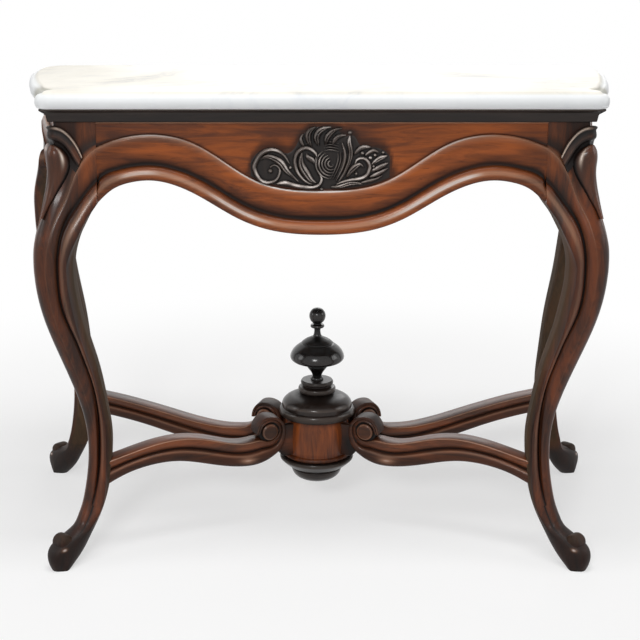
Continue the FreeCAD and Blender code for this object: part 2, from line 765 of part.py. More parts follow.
for (side, end), leg in legs.items():
    place = f"{'front' if end < 0 else 'back'}_{'left' if side < 0 else 'right'}"
    drilled(f"{place}_leg", leg)
    drilled(f"{place}_stretcher", arms[side, end])
    drilled(f"{place}_glue_block", blocks[side, end])
drilled("front_apron", front_apron)
drilled("back_rail", back_rail)
for side_name, side in SIDES.items():
    drilled(f"{side_name}_side_apron", side_aprons[side])
    drilled(f"{side_name}_bearer", bearers[side])
for label, blank in [("hub_base", base_blank), ("hub_drum", drum_blank), ("hub_cap", cap_blank)]:
    drilled(label, blank)


def socket(name, low, high, radius):
    """An upright round hole between two heights."""
    hole = doc.addObject("Part::Cylinder", name)
    bind(hole, Radius=radius)
    hole.Height = high - low
    hole.Placement.Base = Vector(0, 0, low)
    return hole


finial_holes = fused("finial_holes",
                     socket("finial_seat", BULGE_SEAT, COLLAR_TOP, "Sizes.seat_radius"),
                     socket("finial_socket", TENON_LOW, BULGE_SEAT, "Sizes.tenon_radius"))
socketed = cut("collar_socketed", collar_blank, finial_holes)
ball_socket = socket("ball_socket", BALL_TENON_LOW, MUSHROOM_TOP, "Sizes.ball_tenon_radius")
node(cut("mushroom_socketed", mushroom_blank, ball_socket), "finial_mushroom")
doc.recompute()
drilled("hub_collar", socketed)
node(cartouche, "apron_carving")
node(group("rail_dowel_set", rail_dowels), "rail_dowels")
node(group("leg_arm_dowel_set", leg_arm_dowels), "leg_stretcher_dowels")
node(group("hub_arm_dowel_set", hub_arm_dowels), "hub_stretcher_dowels")
node(hub_pin, "hub_pin")
node(group("block_screw_set", block_screws), "glue_block_screws")
node(group("bearer_screw_set", bearer_screws), "bearer_screws")

# ---------------------------------------------------------------- check and write
doc.recompute()
faults = [f"{obj.Name}: {obj.State}" for obj in doc.Objects
          if "Invalid" in obj.State or "Error" in obj.State]
for piece in nodes:
    shape = piece.Shape
    if shape.isNull() or not shape.isValid() or shape.Volume <= 0:
        faults.append(f"{piece.Label}: the shape is null or invalid")
if faults:
    raise RuntimeError("\n".join(faults))

os.makedirs("parts", exist_ok=True)
for piece in nodes:
    piece.Shape.exportStep(os.path.join("parts", piece.Label + ".step"))
    box = piece.Shape.BoundBox
    print(f"{piece.Label}: {len(piece.Shape.Solids)} solid(s), {piece.Shape.Volume / 1000:.0f} cm3,"
          f" {box.XLength:.0f} x {box.YLength:.0f} x {box.ZLength:.0f}")
whole = Part.makeCompound([piece.Shape for piece in nodes]).BoundBox
print(f"{len(nodes)} nodes; X {whole.XMin:.2f} {whole.XMax:.2f}, Y {whole.YMin:.2f} {whole.YMax:.2f},"
      f" Z {whole.ZMin:.2f} {whole.ZMax:.2f}")
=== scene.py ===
# %% [markdown]
# # A walnut pier table with a marble slab
# The table stands against a wall between two windows. A marble slab lies loose on a walnut
# frame: four cabriole legs, moulded aprons, a carved cartouche, and a crossed stretcher that
# meets in a turned hub with a finial. The construction comes in as a fixed frame, and each
# visible piece is then modelled again with its mouldings, carving and polish.

# %% Load the frame
import math

import bpy
import numpy as np
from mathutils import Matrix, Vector


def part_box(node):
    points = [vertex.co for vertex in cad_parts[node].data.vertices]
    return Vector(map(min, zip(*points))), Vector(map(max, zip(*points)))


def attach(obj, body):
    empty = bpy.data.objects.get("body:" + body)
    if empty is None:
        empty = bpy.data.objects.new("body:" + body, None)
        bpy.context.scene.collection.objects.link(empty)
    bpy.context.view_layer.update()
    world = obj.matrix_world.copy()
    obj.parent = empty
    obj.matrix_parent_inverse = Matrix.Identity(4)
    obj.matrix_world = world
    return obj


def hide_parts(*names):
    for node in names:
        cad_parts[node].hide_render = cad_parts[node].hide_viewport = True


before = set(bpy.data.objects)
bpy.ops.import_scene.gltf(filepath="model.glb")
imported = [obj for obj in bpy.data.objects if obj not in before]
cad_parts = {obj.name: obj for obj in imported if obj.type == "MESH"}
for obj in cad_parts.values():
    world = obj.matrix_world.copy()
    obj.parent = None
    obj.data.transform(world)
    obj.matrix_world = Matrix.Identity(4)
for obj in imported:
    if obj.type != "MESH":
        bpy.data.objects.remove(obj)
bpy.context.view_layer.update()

# %% [markdown]
# ## Measures from the frame
# All shapes below are drawn in millimetres and become metres when a mesh is made. The few
# levels and faces that everything hangs on are read from the frame, so a change there moves
# the mouldings too. Only the frieze is drawn a little taller than the rails behind it.

# %% Levels, faces and corners
MM = 0.001


def edge_of(node, end, axis):
    """One side of a piece's box in millimetres: end 0 is the low corner, 1 the high one."""
    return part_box(node)[end][axis] / MM


STRIP_LOW = edge_of("back_top_strip", 0, 2)
FRIEZE_RISE = 3.5
RAIL_TOP = edge_of("front_apron", 1, 2) + FRIEZE_RISE
SLAB_LOW = edge_of("marble_top", 0, 2)
SLAB_TOP = edge_of("marble_top", 1, 2)
POST_FACE = edge_of("back_top_strip", 1, 1)
POST = 70.0
FRONT_HALF = edge_of("front_apron", 1, 0) + POST
BACK_HALF = edge_of("back_rail", 1, 0) + POST
RECESS = 7.0
FRIEZE = POST_FACE - RECESS
SIDES = {"left": -1, "right": 1}
ENDS = {"front": -1, "back": 1}
CORNERS = [(f"{end_name}_{side_name}", side, end)
           for end_name, end in ENDS.items() for side_name, side in SIDES.items()]


def half_width(end):
    """Middle of the table to the outer face of a front or back post."""
    return FRONT_HALF if end < 0 else BACK_HALF


print(f"rail top {RAIL_TOP:.1f}, posts at {FRONT_HALF:.1f} and {BACK_HALF:.1f}, face {POST_FACE:.1f}")

# %% [markdown]
# ## Smooth lines
# A sawn curve is drawn as a workshop draws it: a few marked points with a springy batten bent
# through them. A natural cubic spline is that batten in numbers.

# %% The batten
def batten(points, count):
    """Points evenly spread along the smooth line that passes through the marked ones."""
    marks = np.array(points, float)
    steps = np.linalg.norm(np.diff(marks, axis=0), axis=1)
    run = np.concatenate([[0], np.cumsum(steps)])
    size = len(marks)
    matrix = np.eye(size)
    right = np.zeros_like(marks)
    for i in range(1, size - 1):
        before, after = steps[i - 1], steps[i]
        matrix[i, i - 1:i + 2] = before, 2 * (before + after), after
        right[i] = 6 * ((marks[i + 1] - marks[i]) / after - (marks[i] - marks[i - 1]) / before)
    bend = np.linalg.solve(matrix, right)
    line = []
    for place in np.linspace(0, run[-1], count):
        i = min(int(np.searchsorted(run, place, side="right")) - 1, size - 2)
        length = steps[i]
        far = (place - run[i]) / length
        near = 1 - far
        point = near * marks[i] + far * marks[i + 1]
        point = point + ((near**3 - near) * bend[i] + (far**3 - far) * bend[i + 1]) * length**2 / 6
        line.append(point)
    return np.array(line)


def read_off(line, key):
    """The second coordinate of a line where its first one is key."""
    order = np.argsort(line[:, 0])
    return float(np.interp(key, line[order, 0], line[order, 1]))


# %% [markdown]
# ## Camera, floor and light
# The floor is a plain pale sheet that runs past the view. Broad soft lamps overhead, in front,
# at each side and behind light the table evenly. The sky adds little light of its own, so that
# dark wood stays dark and its polish shows the lamps as highlights.

# %% Camera
CAMERA_PLACE = (-0.055, -2.2875, 0.9946)
CAMERA_PITCH = math.radians(15.57)
SENSOR_WIDTH = 36
LENS = 78.75
SHIFT_X = 35 / 640
camera_data = bpy.data.cameras.new("camera")
camera_data.sensor_width = SENSOR_WIDTH
camera_data.lens = LENS
camera_data.shift_x = SHIFT_X
camera = bpy.data.objects.new("camera", camera_data)
camera.location = CAMERA_PLACE
camera.rotation_euler = (math.pi / 2 - CAMERA_PITCH, 0, 0)
bpy.context.scene.collection.objects.link(camera)
bpy.context.scene.camera = camera

# %% Floor and lamps
FLOOR_SIZE = 80
# The name, place, aim, width, height and power of each lamp.
LAMPS = [
    ("lamp_over", (0, -0.6, 2.6), (0, 0, 0.6), 1.2, 0.7, 29),
    ("lamp_front", (-0.7, -3.3, 1.9), (0, 0, 0.45), 0.8, 0.45, 34),
    ("lamp_left", (-2.8, -0.6, 1.5), (0, 0, 0.4), 1.2, 1.2, 13),
    ("lamp_right", (2.8, -0.4, 1.5), (0, 0, 0.4), 1.2, 1.2, 13),
    ("lamp_back", (0.3, 3.2, 1.8), (0, 0, 0.4), 2.0, 1.2, 20),
]


def deselect():
    """Leave edit mode and select nothing, so that the next operator meets only its own piece."""
    if bpy.context.object and bpy.context.object.mode != "OBJECT":
        bpy.ops.object.mode_set(mode="OBJECT")
    bpy.ops.object.select_all(action="DESELECT")


deselect()
bpy.ops.mesh.primitive_plane_add(size=FLOOR_SIZE)
floor = bpy.context.object
floor.name = "floor"
for name, place, aim, width, height, power in LAMPS:
    data = bpy.data.lights.new(name, "AREA")
    data.shape = "RECTANGLE"
    data.size = width
    data.size_y = height
    data.energy = power
    lamp = bpy.data.objects.new(name, data)
    lamp.location = place
    lamp.rotation_euler = (Vector(aim) - Vector(place)).to_track_quat("-Z", "Y").to_euler()
    bpy.context.scene.collection.objects.link(lamp)
bpy.context.scene.view_settings.view_transform = "Standard"

# %% [markdown]
# ## Writing materials as sums
# A material is a net of nodes. Written one link at a time it is hard to read, so a Channel
# wraps one socket and lets Python's own + - * build the Math nodes, and a Finish makes every
# other node through one method.

# %% Channel and Finish
class Channel:
    """A socket that can be added, subtracted and multiplied as if it were a number."""

    def __init__(self, finish, socket):
        self.finish = finish
        self.socket = socket

    def math(self, operation, *others):
        values = {i: value for i, value in enumerate((self,) + others)}
        return self.finish.make("Math", {"operation": operation}, values)

    def __add__(self, other):
        return self.math("ADD", other)

    def __sub__(self, other):
        return self.math("SUBTRACT", other)

    def __mul__(self, other):
        return self.math("MULTIPLY", other)

    def __rsub__(self, other):
        return self.finish.make("Math", {"operation": "SUBTRACT"}, {0: other, 1: self})

    __radd__ = __add__
    __rmul__ = __mul__

    def clamped(self):
        return self.finish.make("Clamp", {}, {"Value": self})

    def spread(self, low, high):
        """0 below low, 1 above high, and a smooth rise between."""
        values = {"Value": self, "From Min": low, "From Max": high}
        return self.finish.make("MapRange", {"interpolation_type": "SMOOTHSTEP"}, values)


class Finish:
    """One material under construction."""

    def __init__(self, name, store=bpy.data.materials, end="ShaderNodeOutputMaterial"):
        self.material = store.new(name)
        self.material.use_nodes = True
        self.end = end
        self.tree = self.material.node_tree
        self.tree.nodes.clear()

    def make(self, kind, settings, values, output=0):
        """Add a node: its settings first, then its sockets' values or links."""
        node = self.tree.nodes.new("ShaderNode" + kind)
        for key, value in settings.items():
            setattr(node, key, value)
        for key, value in values.items():
            if isinstance(value, Channel):
                self.tree.links.new(value.socket, node.inputs[key])
            else:
                node.inputs[key].default_value = value
        return Channel(self, node.outputs[output])

    def mixed(self, factor, first, second):
        """The second colour over the first, as far as the factor says."""
        settings = {"data_type": "RGBA", "clamp_factor": True}
        values = {0: factor, 6: as_light(first), 7: as_light(second)}
        return self.make("Mix", settings, values, output=2)

    def place(self, turn=(0, 0, 0), scale=(1, 1, 1)):
        """Object coordinates, turned first and then stretched along the turned axes."""
        coordinates = self.make("TexCoord", {}, {}, output=3)
        values = {"Vector": coordinates, "Rotation": turn, "Scale": [1 / part for part in scale]}
        return self.make("Mapping", {"vector_type": "TEXTURE"}, values)

    def noise(self, vector, scale, detail=4, roughness=0.55, distortion=0.0):
        values = {"Vector": vector, "Scale": scale, "Detail": detail, "Roughness": roughness,
                  "Distortion": distortion}
        return self.make("TexNoise", {}, values)

    def attribute(self, name):
        """A value painted on the piece's own points."""
        return self.make("Attribute", {"attribute_name": name}, {}, output=2)

    def surface(self, values):
        """Close the material with one surface shader."""
        return self.closed(self.make("BsdfPrincipled", {}, values))

    def closed(self, shader):
        """Link the last shader to the output."""
        node = self.tree.nodes.new(self.end)
        self.tree.links.new(shader.socket, node.inputs["Surface"])
        return self.material


def as_light(colour):
    """Light for a shader: three numbers up to 255 are read as on a screen, the rest stays."""
    if isinstance(colour, Channel) or len(colour) == 4:
        return colour
    parts = [value / 255 for value in colour]
    return [part / 12.92 if part <= 0.04045 else ((part + 0.055) / 1.055) ** 2.4
            for part in parts] + [1.0]


# %% [markdown]
# ## Walnut under old French polish
# Walnut has long wavy bands of lighter and darker wood, short dark pores along the grain, and
# a thin glassy polish over it. Old wax and dust sit in the hollows, and hands have rubbed the
# crests back to a paler wood. The pattern is stretched along the grain of each piece. Three
# values painted on the points carry dust, wear and painted light: "dust_and_shade" darkens
# hollows, quirks, undersides and the halves that face away towards near-black, as dust and as
# painted shade; "wear_and_highlight" turns crests paler as wear and as painted highlight, and
# above 1 near-white as a painted glint; "dull_and_reflection" marks inner flanks that never
# saw much polish and paints them olive brown as a painted reflection.

# %% Walnut
WARM_FROM, WARM_FULL = 0.585, 0.665


def walnut(name, light, dark, dust_and_shade, crest, turn=(0, 0, 0), gloss=0.3, coat=0.25, figure=1.0,
           warm_top=None, crest_strength=0.6):
    """Polished walnut whose grain runs along X before it is turned."""
    wood = Finish(name)
    if warm_top:
        height = wood.make("SeparateXYZ", {}, {0: wood.place()}, output="Z")
        light = wood.mixed(height.spread(WARM_FROM, WARM_FULL), light, warm_top)
    dull_and_reflection = wood.attribute("dull_and_reflection")
    hollow = wood.attribute("dust_and_shade")
    wear_and_highlight = wood.attribute("wear_and_highlight")
    along = wood.place(turn, (1.0, 9.0, 9.0))
    broad = wood.noise(along, 2.6 * figure, 3, 0.5, 0.9)
    bands = wood.noise(along, 7.5 * figure, 5, 0.62, 1.4)
    fine = wood.noise(wood.place(turn, (7.0, 120.0, 120.0)), 3.0, 3, 0.6)
    pores = fine.spread(0.60, 0.70)
    patches = wood.noise(wood.place(turn, (1.0, 2.2, 2.2)), 5.5, 3, 0.5)
    mask = ((broad * 0.55 + bands * 0.45).spread(0.36, 0.64) * 0.8 + fine * 0.25).clamped()
    colour = wood.mixed(mask, dark, light)
    colour = wood.mixed(pores * 0.45, colour, dust_and_shade)
    colour = wood.mixed(patches.spread(0.52, 0.70) * 0.30, colour, dark)
    # Crests turn paler, as wear and as a painted highlight.
    colour = wood.mixed((wear_and_highlight * crest_strength * (0.6 + bands * 0.8)).clamped(), colour, crest)
    # Above 1 the mark is a painted glint: near-white, as a lamp seen in the polish.
    colour = wood.mixed((wear_and_highlight - 1).clamped(), colour, GLINT)
    # Hollows go towards near-black, as dust and as painted shade.
    colour = wood.mixed((hollow * (0.85 + patches * 0.3)).clamped(), colour, dust_and_shade)
    # Inner flanks turn a dull olive brown: thin polish, and a painted reflection.
    colour = wood.mixed(dull_and_reflection * 0.8, colour, wood.mixed(bands, (52, 42, 31), (84, 70, 52)))
    rough = gloss + patches * 0.10 + pores * 0.12 + hollow * 0.18 + dull_and_reflection * 0.4
    polish = (coat - hollow * 0.25 - dull_and_reflection * 0.3).clamped()
    grain = wood.make("Bump", {}, {"Strength": 0.10, "Distance": 0.0006, "Height": fine * 0.7 + bands})
    return wood.surface({"Base Color": colour, "Roughness": rough, "Normal": grain,
                         "Specular IOR Level": 0.2, "Coat Weight": polish, "Coat Roughness": 0.15,
                         "Coat IOR": 1.45})


# %% Walnut finishes
# Near-black for dust and painted shade, near-white for a painted glint, and a pale crest colour for wear
# and painted highlight. Each finish below gives its light and dark wood, its colour of dust and painted
# shade, and its crest colour.
DUST_AND_SHADE_COLOUR = (22, 16, 14)
GLINT = (232, 230, 228)
CREST = (196, 150, 122)
GRAIN_X = (0, 0, 0)
GRAIN_Y = (0, 0, math.pi / 2)
GRAIN_Z = (0, math.pi / 2, 0)
walnut_rail = walnut("walnut_rail", (170, 86, 28), (62, 28, 11), DUST_AND_SHADE_COLOUR, CREST)
walnut_side = walnut("walnut_side", (124, 66, 26), (62, 30, 12), DUST_AND_SHADE_COLOUR, CREST, GRAIN_Y)
walnut_leg = walnut("walnut_leg", (112, 54, 21), (32, 17, 9), DUST_AND_SHADE_COLOUR, (166, 128, 104), GRAIN_Z,
                    warm_top=(150, 76, 28))
walnut_drum = walnut("walnut_drum", (158, 78, 25), (58, 29, 17), DUST_AND_SHADE_COLOUR, CREST, GRAIN_Z)
walnut_scroll = walnut("walnut_scroll", (106, 54, 25), (50, 27, 14), (14, 11, 10),
                       (206, 186, 170), GRAIN_Z, 0.26, 0.3, 1.2, crest_strength=0.8)
carved_walnut = walnut("carved_walnut", (74, 60, 53), (38, 31, 28), (16, 12, 11),
                       (214, 202, 194), GRAIN_Z, 0.26, 0.35, 1.6, crest_strength=0.8)
dark_walnut = walnut("dark_walnut", (50, 38, 32), (26, 20, 18), DUST_AND_SHADE_COLOUR, (120, 104, 92), GRAIN_X,
                     0.24, 0.35)
ebonised = walnut("ebonised_wood", (30, 25, 23), (14, 12, 12), (8, 7, 7), (60, 50, 46), GRAIN_Z,
                  0.2, 0.55)
print("walnut finishes ready")

# %% [markdown]
# ## Marble
# White statuary marble is cream where it is polished and lit from above, with a few thin grey
# veins that wander and break, and cloudy patches between them. The veins follow the middle
# value of a noise: its distance from one half is small only along a winding thread. Below the
# top, the edge is painted a cool bluish white as a painted sheen, and the notches behind the
# front lobes carry an olive painted shade.

# %% Marble
EDGE_SHEEN_FROM, EDGE_SHEEN_TO = (SLAB_TOP - 6.0) * MM, (SLAB_TOP - 1.0) * MM


def white_marble():
    stone = Finish("marble")
    spot = stone.place()
    warp = stone.noise(spot, 3.0, 5, 0.6, 0.6)
    thread = stone.noise(stone.place((0, 0, 0.6), (1.0, 2.2, 1.0)), 2.1, 6, 0.62, 1.2)
    vein = 1 - ((thread - 0.5).math("ABSOLUTE") * 26).clamped()
    hair = stone.noise(stone.place((0, 0, -0.4), (1.0, 1.8, 1.0)), 6.5, 6, 0.65, 0.8)
    hairline = 1 - ((hair - 0.5).math("ABSOLUTE") * 40).clamped()
    cloud = warp.spread(0.40, 0.66)
    colour = stone.mixed(cloud, (240, 236, 226), (226, 222, 211))
    colour = stone.mixed(vein * cloud * 0.45, colour, (182, 182, 184))
    colour = stone.mixed(hairline * warp.spread(0.5, 0.7) * 0.30, colour, (172, 174, 178))
    height = stone.make("SeparateXYZ", {}, {0: stone.place()}, output="Z")
    # A painted sheen: below the top the edge is painted bluish white.
    edge = 1 - height.spread(EDGE_SHEEN_FROM, EDGE_SHEEN_TO)
    colour = stone.mixed(edge * 0.6, colour, (232, 238, 246))
    # Painted shade in the notches, olive grey.
    colour = stone.mixed(stone.attribute("dust_and_shade"), colour, (150, 146, 130))
    values = {"Base Color": colour, "Roughness": 0.42 + cloud * 0.10, "Specular IOR Level": 0.25}
    return stone.surface(values)


marble = white_marble()

# %% [markdown]
# ## Unpolished wood, beech and steel
# What never shows from the front is cheap pine, sawn, glued and left bare: pale brown with
# straight dark rings, and matt. Dowels are beech, with short flecks, and the screws are
# dull steel.

# %% Hidden woods and steel
def bare_wood(name, light, dark, turn, rings, flecks):
    wood = Finish(name)
    along = wood.place(turn, (1.0, rings, rings))
    growth = wood.noise(along, 5.0, 4, 0.55, 0.5)
    streak = wood.noise(wood.place(turn, (5.0, 160.0, 160.0)), 2.4, 3, 0.6)
    dirt = wood.noise(wood.place(), 7.0, 4, 0.6)
    colour = wood.mixed(growth.spread(0.38, 0.62), dark, light)
    colour = wood.mixed(streak.spread(0.55, 0.72) * flecks, colour, dark)
    colour = wood.mixed(dirt.spread(0.5, 0.75) * 0.4, colour, (70, 52, 36))
    grain = wood.make("Bump", {}, {"Strength": 0.2, "Distance": 0.0008, "Height": streak})
    return wood.surface({"Base Color": colour, "Roughness": 0.68 + streak * 0.2, "Normal": grain})


deal_x = bare_wood("deal_along_x", (168, 128, 86), (122, 84, 52), GRAIN_X, 14, 0.5)
deal_y = bare_wood("deal_along_y", (164, 124, 84), (118, 82, 52), GRAIN_Y, 14, 0.5)
deal_z = bare_wood("deal_along_z", (160, 122, 82), (116, 80, 50), GRAIN_Z, 14, 0.5)
beech = bare_wood("beech", (204, 168, 126), (172, 132, 92), GRAIN_Z, 30, 0.7)


def dull_steel():
    steel = Finish("screw_steel")
    film = steel.noise(steel.place(), 900.0, 3, 0.6)
    colour = steel.mixed(film.spread(0.45, 0.7), (128, 124, 118), (84, 76, 68))
    return steel.surface({"Base Color": colour, "Roughness": 0.38 + film * 0.2, "Metallic": 1.0})


steel = dull_steel()


# %% [markdown]
# ## Paper-white floor and sky
# The floor is a matt pale sheet that takes the table's soft shadow. Further out, and in the
# sky, what the camera sees directly or in a polished surface is plain white, while the light
# that the sky throws on the table stays dim: Light Path tells these rays apart.

# %% Floor and sky finishes
FLOOR_TONES = [(0.91, 0.91, 0.91, 1), (0.95, 0.95, 0.95, 1)]
WHITE = (1, 1, 1, 1)
WHITE_FROM, WHITE_AT = 0.6, 1.6
PAPER = 0.55
SKY_STRENGTH = 0.2


def seen_rays(finish):
    """1 for rays from the camera, and for those that a mirror or glass sends on."""
    rays = [finish.make("LightPath", {}, {}, output=kind)
            for kind in ("Is Camera Ray", "Is Glossy Ray", "Is Transmission Ray")]
    return (rays[0] + rays[1] + rays[2]).clamped()


def pale_floor():
    sheet = Finish("floor")
    tone = sheet.noise(sheet.place(), 1.5, 2, 0.5)
    colour = sheet.mixed(tone * 0.3, *FLOOR_TONES)
    matt = sheet.make("BsdfDiffuse", {}, {"Color": colour, "Roughness": 0.5})
    away = sheet.make("VectorMath", {"operation": "LENGTH"}, {0: sheet.place()}, output="Value")
    glow = sheet.make("Emission", {}, {"Color": WHITE, "Strength": 1.0})
    factor = (PAPER + (1 - PAPER) * away.spread(WHITE_FROM, WHITE_AT)) * seen_rays(sheet)
    return sheet.closed(sheet.make("MixShader", {}, {0: factor, 1: matt, 2: glow}))


def pale_sky():
    sky = Finish("sky", bpy.data.worlds, "ShaderNodeOutputWorld")
    dim = sky.make("Background", {}, {"Color": WHITE, "Strength": SKY_STRENGTH})
    white = sky.make("Background", {}, {"Color": WHITE, "Strength": 1.0})
    return sky.closed(sky.make("MixShader", {}, {0: seen_rays(sky), 1: dim, 2: white}))


floor.data.materials.append(pale_floor())
bpy.context.scene.world = pale_sky()

# %% [markdown]
# ## Bending a grid round sections
# A moulded rail or a cabriole leg is a run of slightly different sections. By hand one would
# bridge a stack of edge loops; here a flat grid is bent round all of them at once: each row
# of the grid lies on one section, and the seam is merged. Each point carries its place and
# the three painted values, in the order x, y, z, dust_and_shade, wear_and_highlight,
# dull_and_reflection: dust and painted shade, wear and painted highlight, thin polish and
# painted reflection.

# %% Wrap
PAINT = ("dust_and_shade", "wear_and_highlight", "dull_and_reflection")
SMOOTH_BELOW = math.radians(38)


def finish_mesh(piece):
    """Merge seams and poles, point the faces outwards and smooth all but the sharp arrises."""
    deselect()
    piece.select_set(True)
    bpy.context.view_layer.objects.active = piece
    bpy.ops.object.mode_set(mode="EDIT")
    bpy.ops.mesh.select_all(action="SELECT")
    bpy.ops.mesh.remove_doubles(threshold=0.00002)
    bpy.ops.mesh.dissolve_degenerate(threshold=0.000005)
    bpy.ops.mesh.delete_loose()
    bpy.ops.mesh.select_all(action="SELECT")
    bpy.ops.mesh.normals_make_consistent(inside=False)
    bpy.ops.object.mode_set(mode="OBJECT")
    bpy.ops.object.shade_smooth_by_angle(angle=SMOOTH_BELOW)
    return piece


def paint(piece, values):
    """Write the three painted values on the points of a piece."""
    for column, name in enumerate(PAINT):
        layer = piece.data.attributes.new(name, "FLOAT", "POINT")
        layer.data.foreach_set("value", values[:, column].astype(np.float32))


def wrap(name, rings, closed=True):
    """A grid with each row laid on one ring of points in millimetres."""
    rings = np.array(rings, float)
    if closed:
        rings = np.concatenate([rings, rings[:, :1]], axis=1)
    rows, columns = rings.shape[:2]
    deselect()
    bpy.ops.mesh.primitive_grid_add(x_subdivisions=columns - 1, y_subdivisions=rows - 1, size=1)
    piece = bpy.context.object
    piece.name = name
    flat = rings.reshape(-1, rings.shape[2])
    piece.data.vertices.foreach_set("co", (flat[:, :3] * MM).astype(np.float32).ravel())
    paint(piece, flat[:, 3:6])
    for layer in list(piece.data.uv_layers):
        piece.data.uv_layers.remove(layer)
    return finish_mesh(piece)


def closed_ends(rings):
    """Gather both end rings into their middle points, so that the shell is closed."""
    rings = np.array(rings, float)
    first, last = rings[:1].copy(), rings[-1:].copy()
    for cap in (first, last):
        cap[..., :3] = cap[..., :3].mean(axis=1, keepdims=True)
    return np.concatenate([first, rings, last])


# %% Join and fit
def joined(name, pieces):
    """Several shells as one piece."""
    deselect()
    for piece in pieces:
        piece.select_set(True)
    bpy.context.view_layer.objects.active = pieces[0]
    bpy.ops.object.join()
    result = bpy.context.object
    result.name = name
    return result


def fitted(piece, name, material, body="frame"):
    """Give a finished piece its name and material, and let it stand for its node."""
    piece.name = name + "_dressed"
    piece.data.materials.clear()
    piece.data.materials.append(material)
    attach(piece, body)
    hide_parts(name)


# %% [markdown]
# ## The moulding
# One moulding runs round the whole table: a round bead along the lower edge, a quirk cut deep
# beside it, then a broad band that swells up to a crisp ridge. Depths are measured down from
# the face, so 0 is the ridge and the bead's crest.

# %% Moulding profile
BEAD = 23.0
QUIRK = 8.5
LIP = 4.0
BEAD_SHARE = 0.86
BEAD_PROUD = 6.0
RIDGE_SHARE = 0.95


def round_bead(steps, proud):
    """(share across, depth) over a half-round bead, with closer points where it is steep."""
    for step in range(steps + 1):
        t = (1 - math.cos(math.pi * step / steps)) / 2
        yield t, proud * (1 - math.sqrt(max(0.0, 1 - (2 * t - 1) ** 2)))


def bead_columns(proud):
    """(share from the edge to the quirk, depth, dust_and_shade, wear_and_highlight) across the bead."""
    # A painted highlight on the bead's upper half, painted shade at its edges and in the quirk.
    columns = [(BEAD_SHARE * t, depth, 0.55 * abs(2 * t - 1) ** 3, max(0.0, 1 - abs(2 * t - 1.15) * 2))
               for t, depth in round_bead(10, proud)]
    return columns + [(0.92, (proud + QUIRK) / 2 + 1, 0.95, 0.0)]


def band_columns(lip_drop):
    """(share from the quirk to the ridge, depth, dust_and_shade, wear_and_highlight) across the band."""
    # Painted shade where the band slopes down into the quirk; painted highlight on the upper band and the
    # lip of the ridge.
    columns = [(0.0, QUIRK, 1.0, 0.0), (0.05, QUIRK - 0.7, 0.95, 0.0)]
    for step in range(1, 11):
        t = step / 10
        depth = (QUIRK - 1.0) * (1 - math.sin(math.pi / 2 * t)) ** 1.15
        dust_and_shade = max(0.0, 0.75 - 1.6 * t)
        columns.append((0.05 + 0.86 * t, depth, dust_and_shade, max(0.0, (t - 0.84) * 2.0)))
    for step in range(1, 5):
        angle = math.pi / 2 * step / 4
        share = 0.91 + 0.09 * math.sin(angle)
        depth = LIP * lip_drop * (1 - math.cos(angle))
        columns.append((share, depth, 0.0, (0.7, 1.0, 0.9, 0.3)[step - 1]))
    return columns


# %% [markdown]
# ## Aprons
# A real apron is a board sawn to a serpentine lower edge, with the moulding worked along it
# and the field above, the frieze, sunk by a few millimetres. Each station along the board is
# one upright section: edge, bead, quirk, band, ridge, frieze, top, and the plain back.

# %% Apron sections
FRONT_EDGE = [(0, 547), (86, 556.5), (126, 572), (178, 602.5), (208, 618), (257, 630.5),
              (288, 627.5), (313, 618.5), (338, 597)]
FRONT_RIDGE = [(0, 615), (98, 630), (146, 659), (197, 689), (264, 700), (316, 690), (338, 681)]
SIDE_EDGE = [(0, 612), (40, 618), (76, 625), (106, 618), (134, 597)]
SIDE_RIDGE = [(0, 681), (40, 686), (80, 694), (134, 681)]
RAIL = 28.0
FIELD_TOP = RAIL_TOP - 3.4
END_SHADE = 0.3
END_REACH = 55.0
# Painted highlights along the ridge and the bead of the front apron: (along, strength).
RIDGE_GLINTS = [(-338, 0), (-310, 0.25), (-290, 0.5), (-262, 0.85), (-235, 0.7), (-205, 0.35),
                (-170, 0.4), (-128, 0.8), (-20, 0.95), (28, 0.95), (48, 0.3), (95, 0.3), (112, 0.6),
                (141, 0.5), (200, 0.75), (240, 0.4), (275, 0)]
BEAD_GLINTS = [(-338, 0), (-310, 0.3), (-295, 0.9), (-262, 1.0), (-240, 0.45), (-175, 0.5),
               (-150, 1.1), (-105, 1.1), (-60, 0.3), (60, 0.3), (110, 0.8), (138, 1.25), (225, 1.25),
               (250, 0.2), (300, 0)]
NO_GLINTS = [(0, 0), (1, 0)]


def smooth_step(value):
    """0 below 0, 1 above 1, and a smooth rise between."""
    t = min(1.0, max(0.0, value))
    return t * t * (3 - 2 * t)


def whole(half):
    """Both halves of a symmetrical line."""
    return [(-a, b) for a, b in reversed(half[1:])] + half


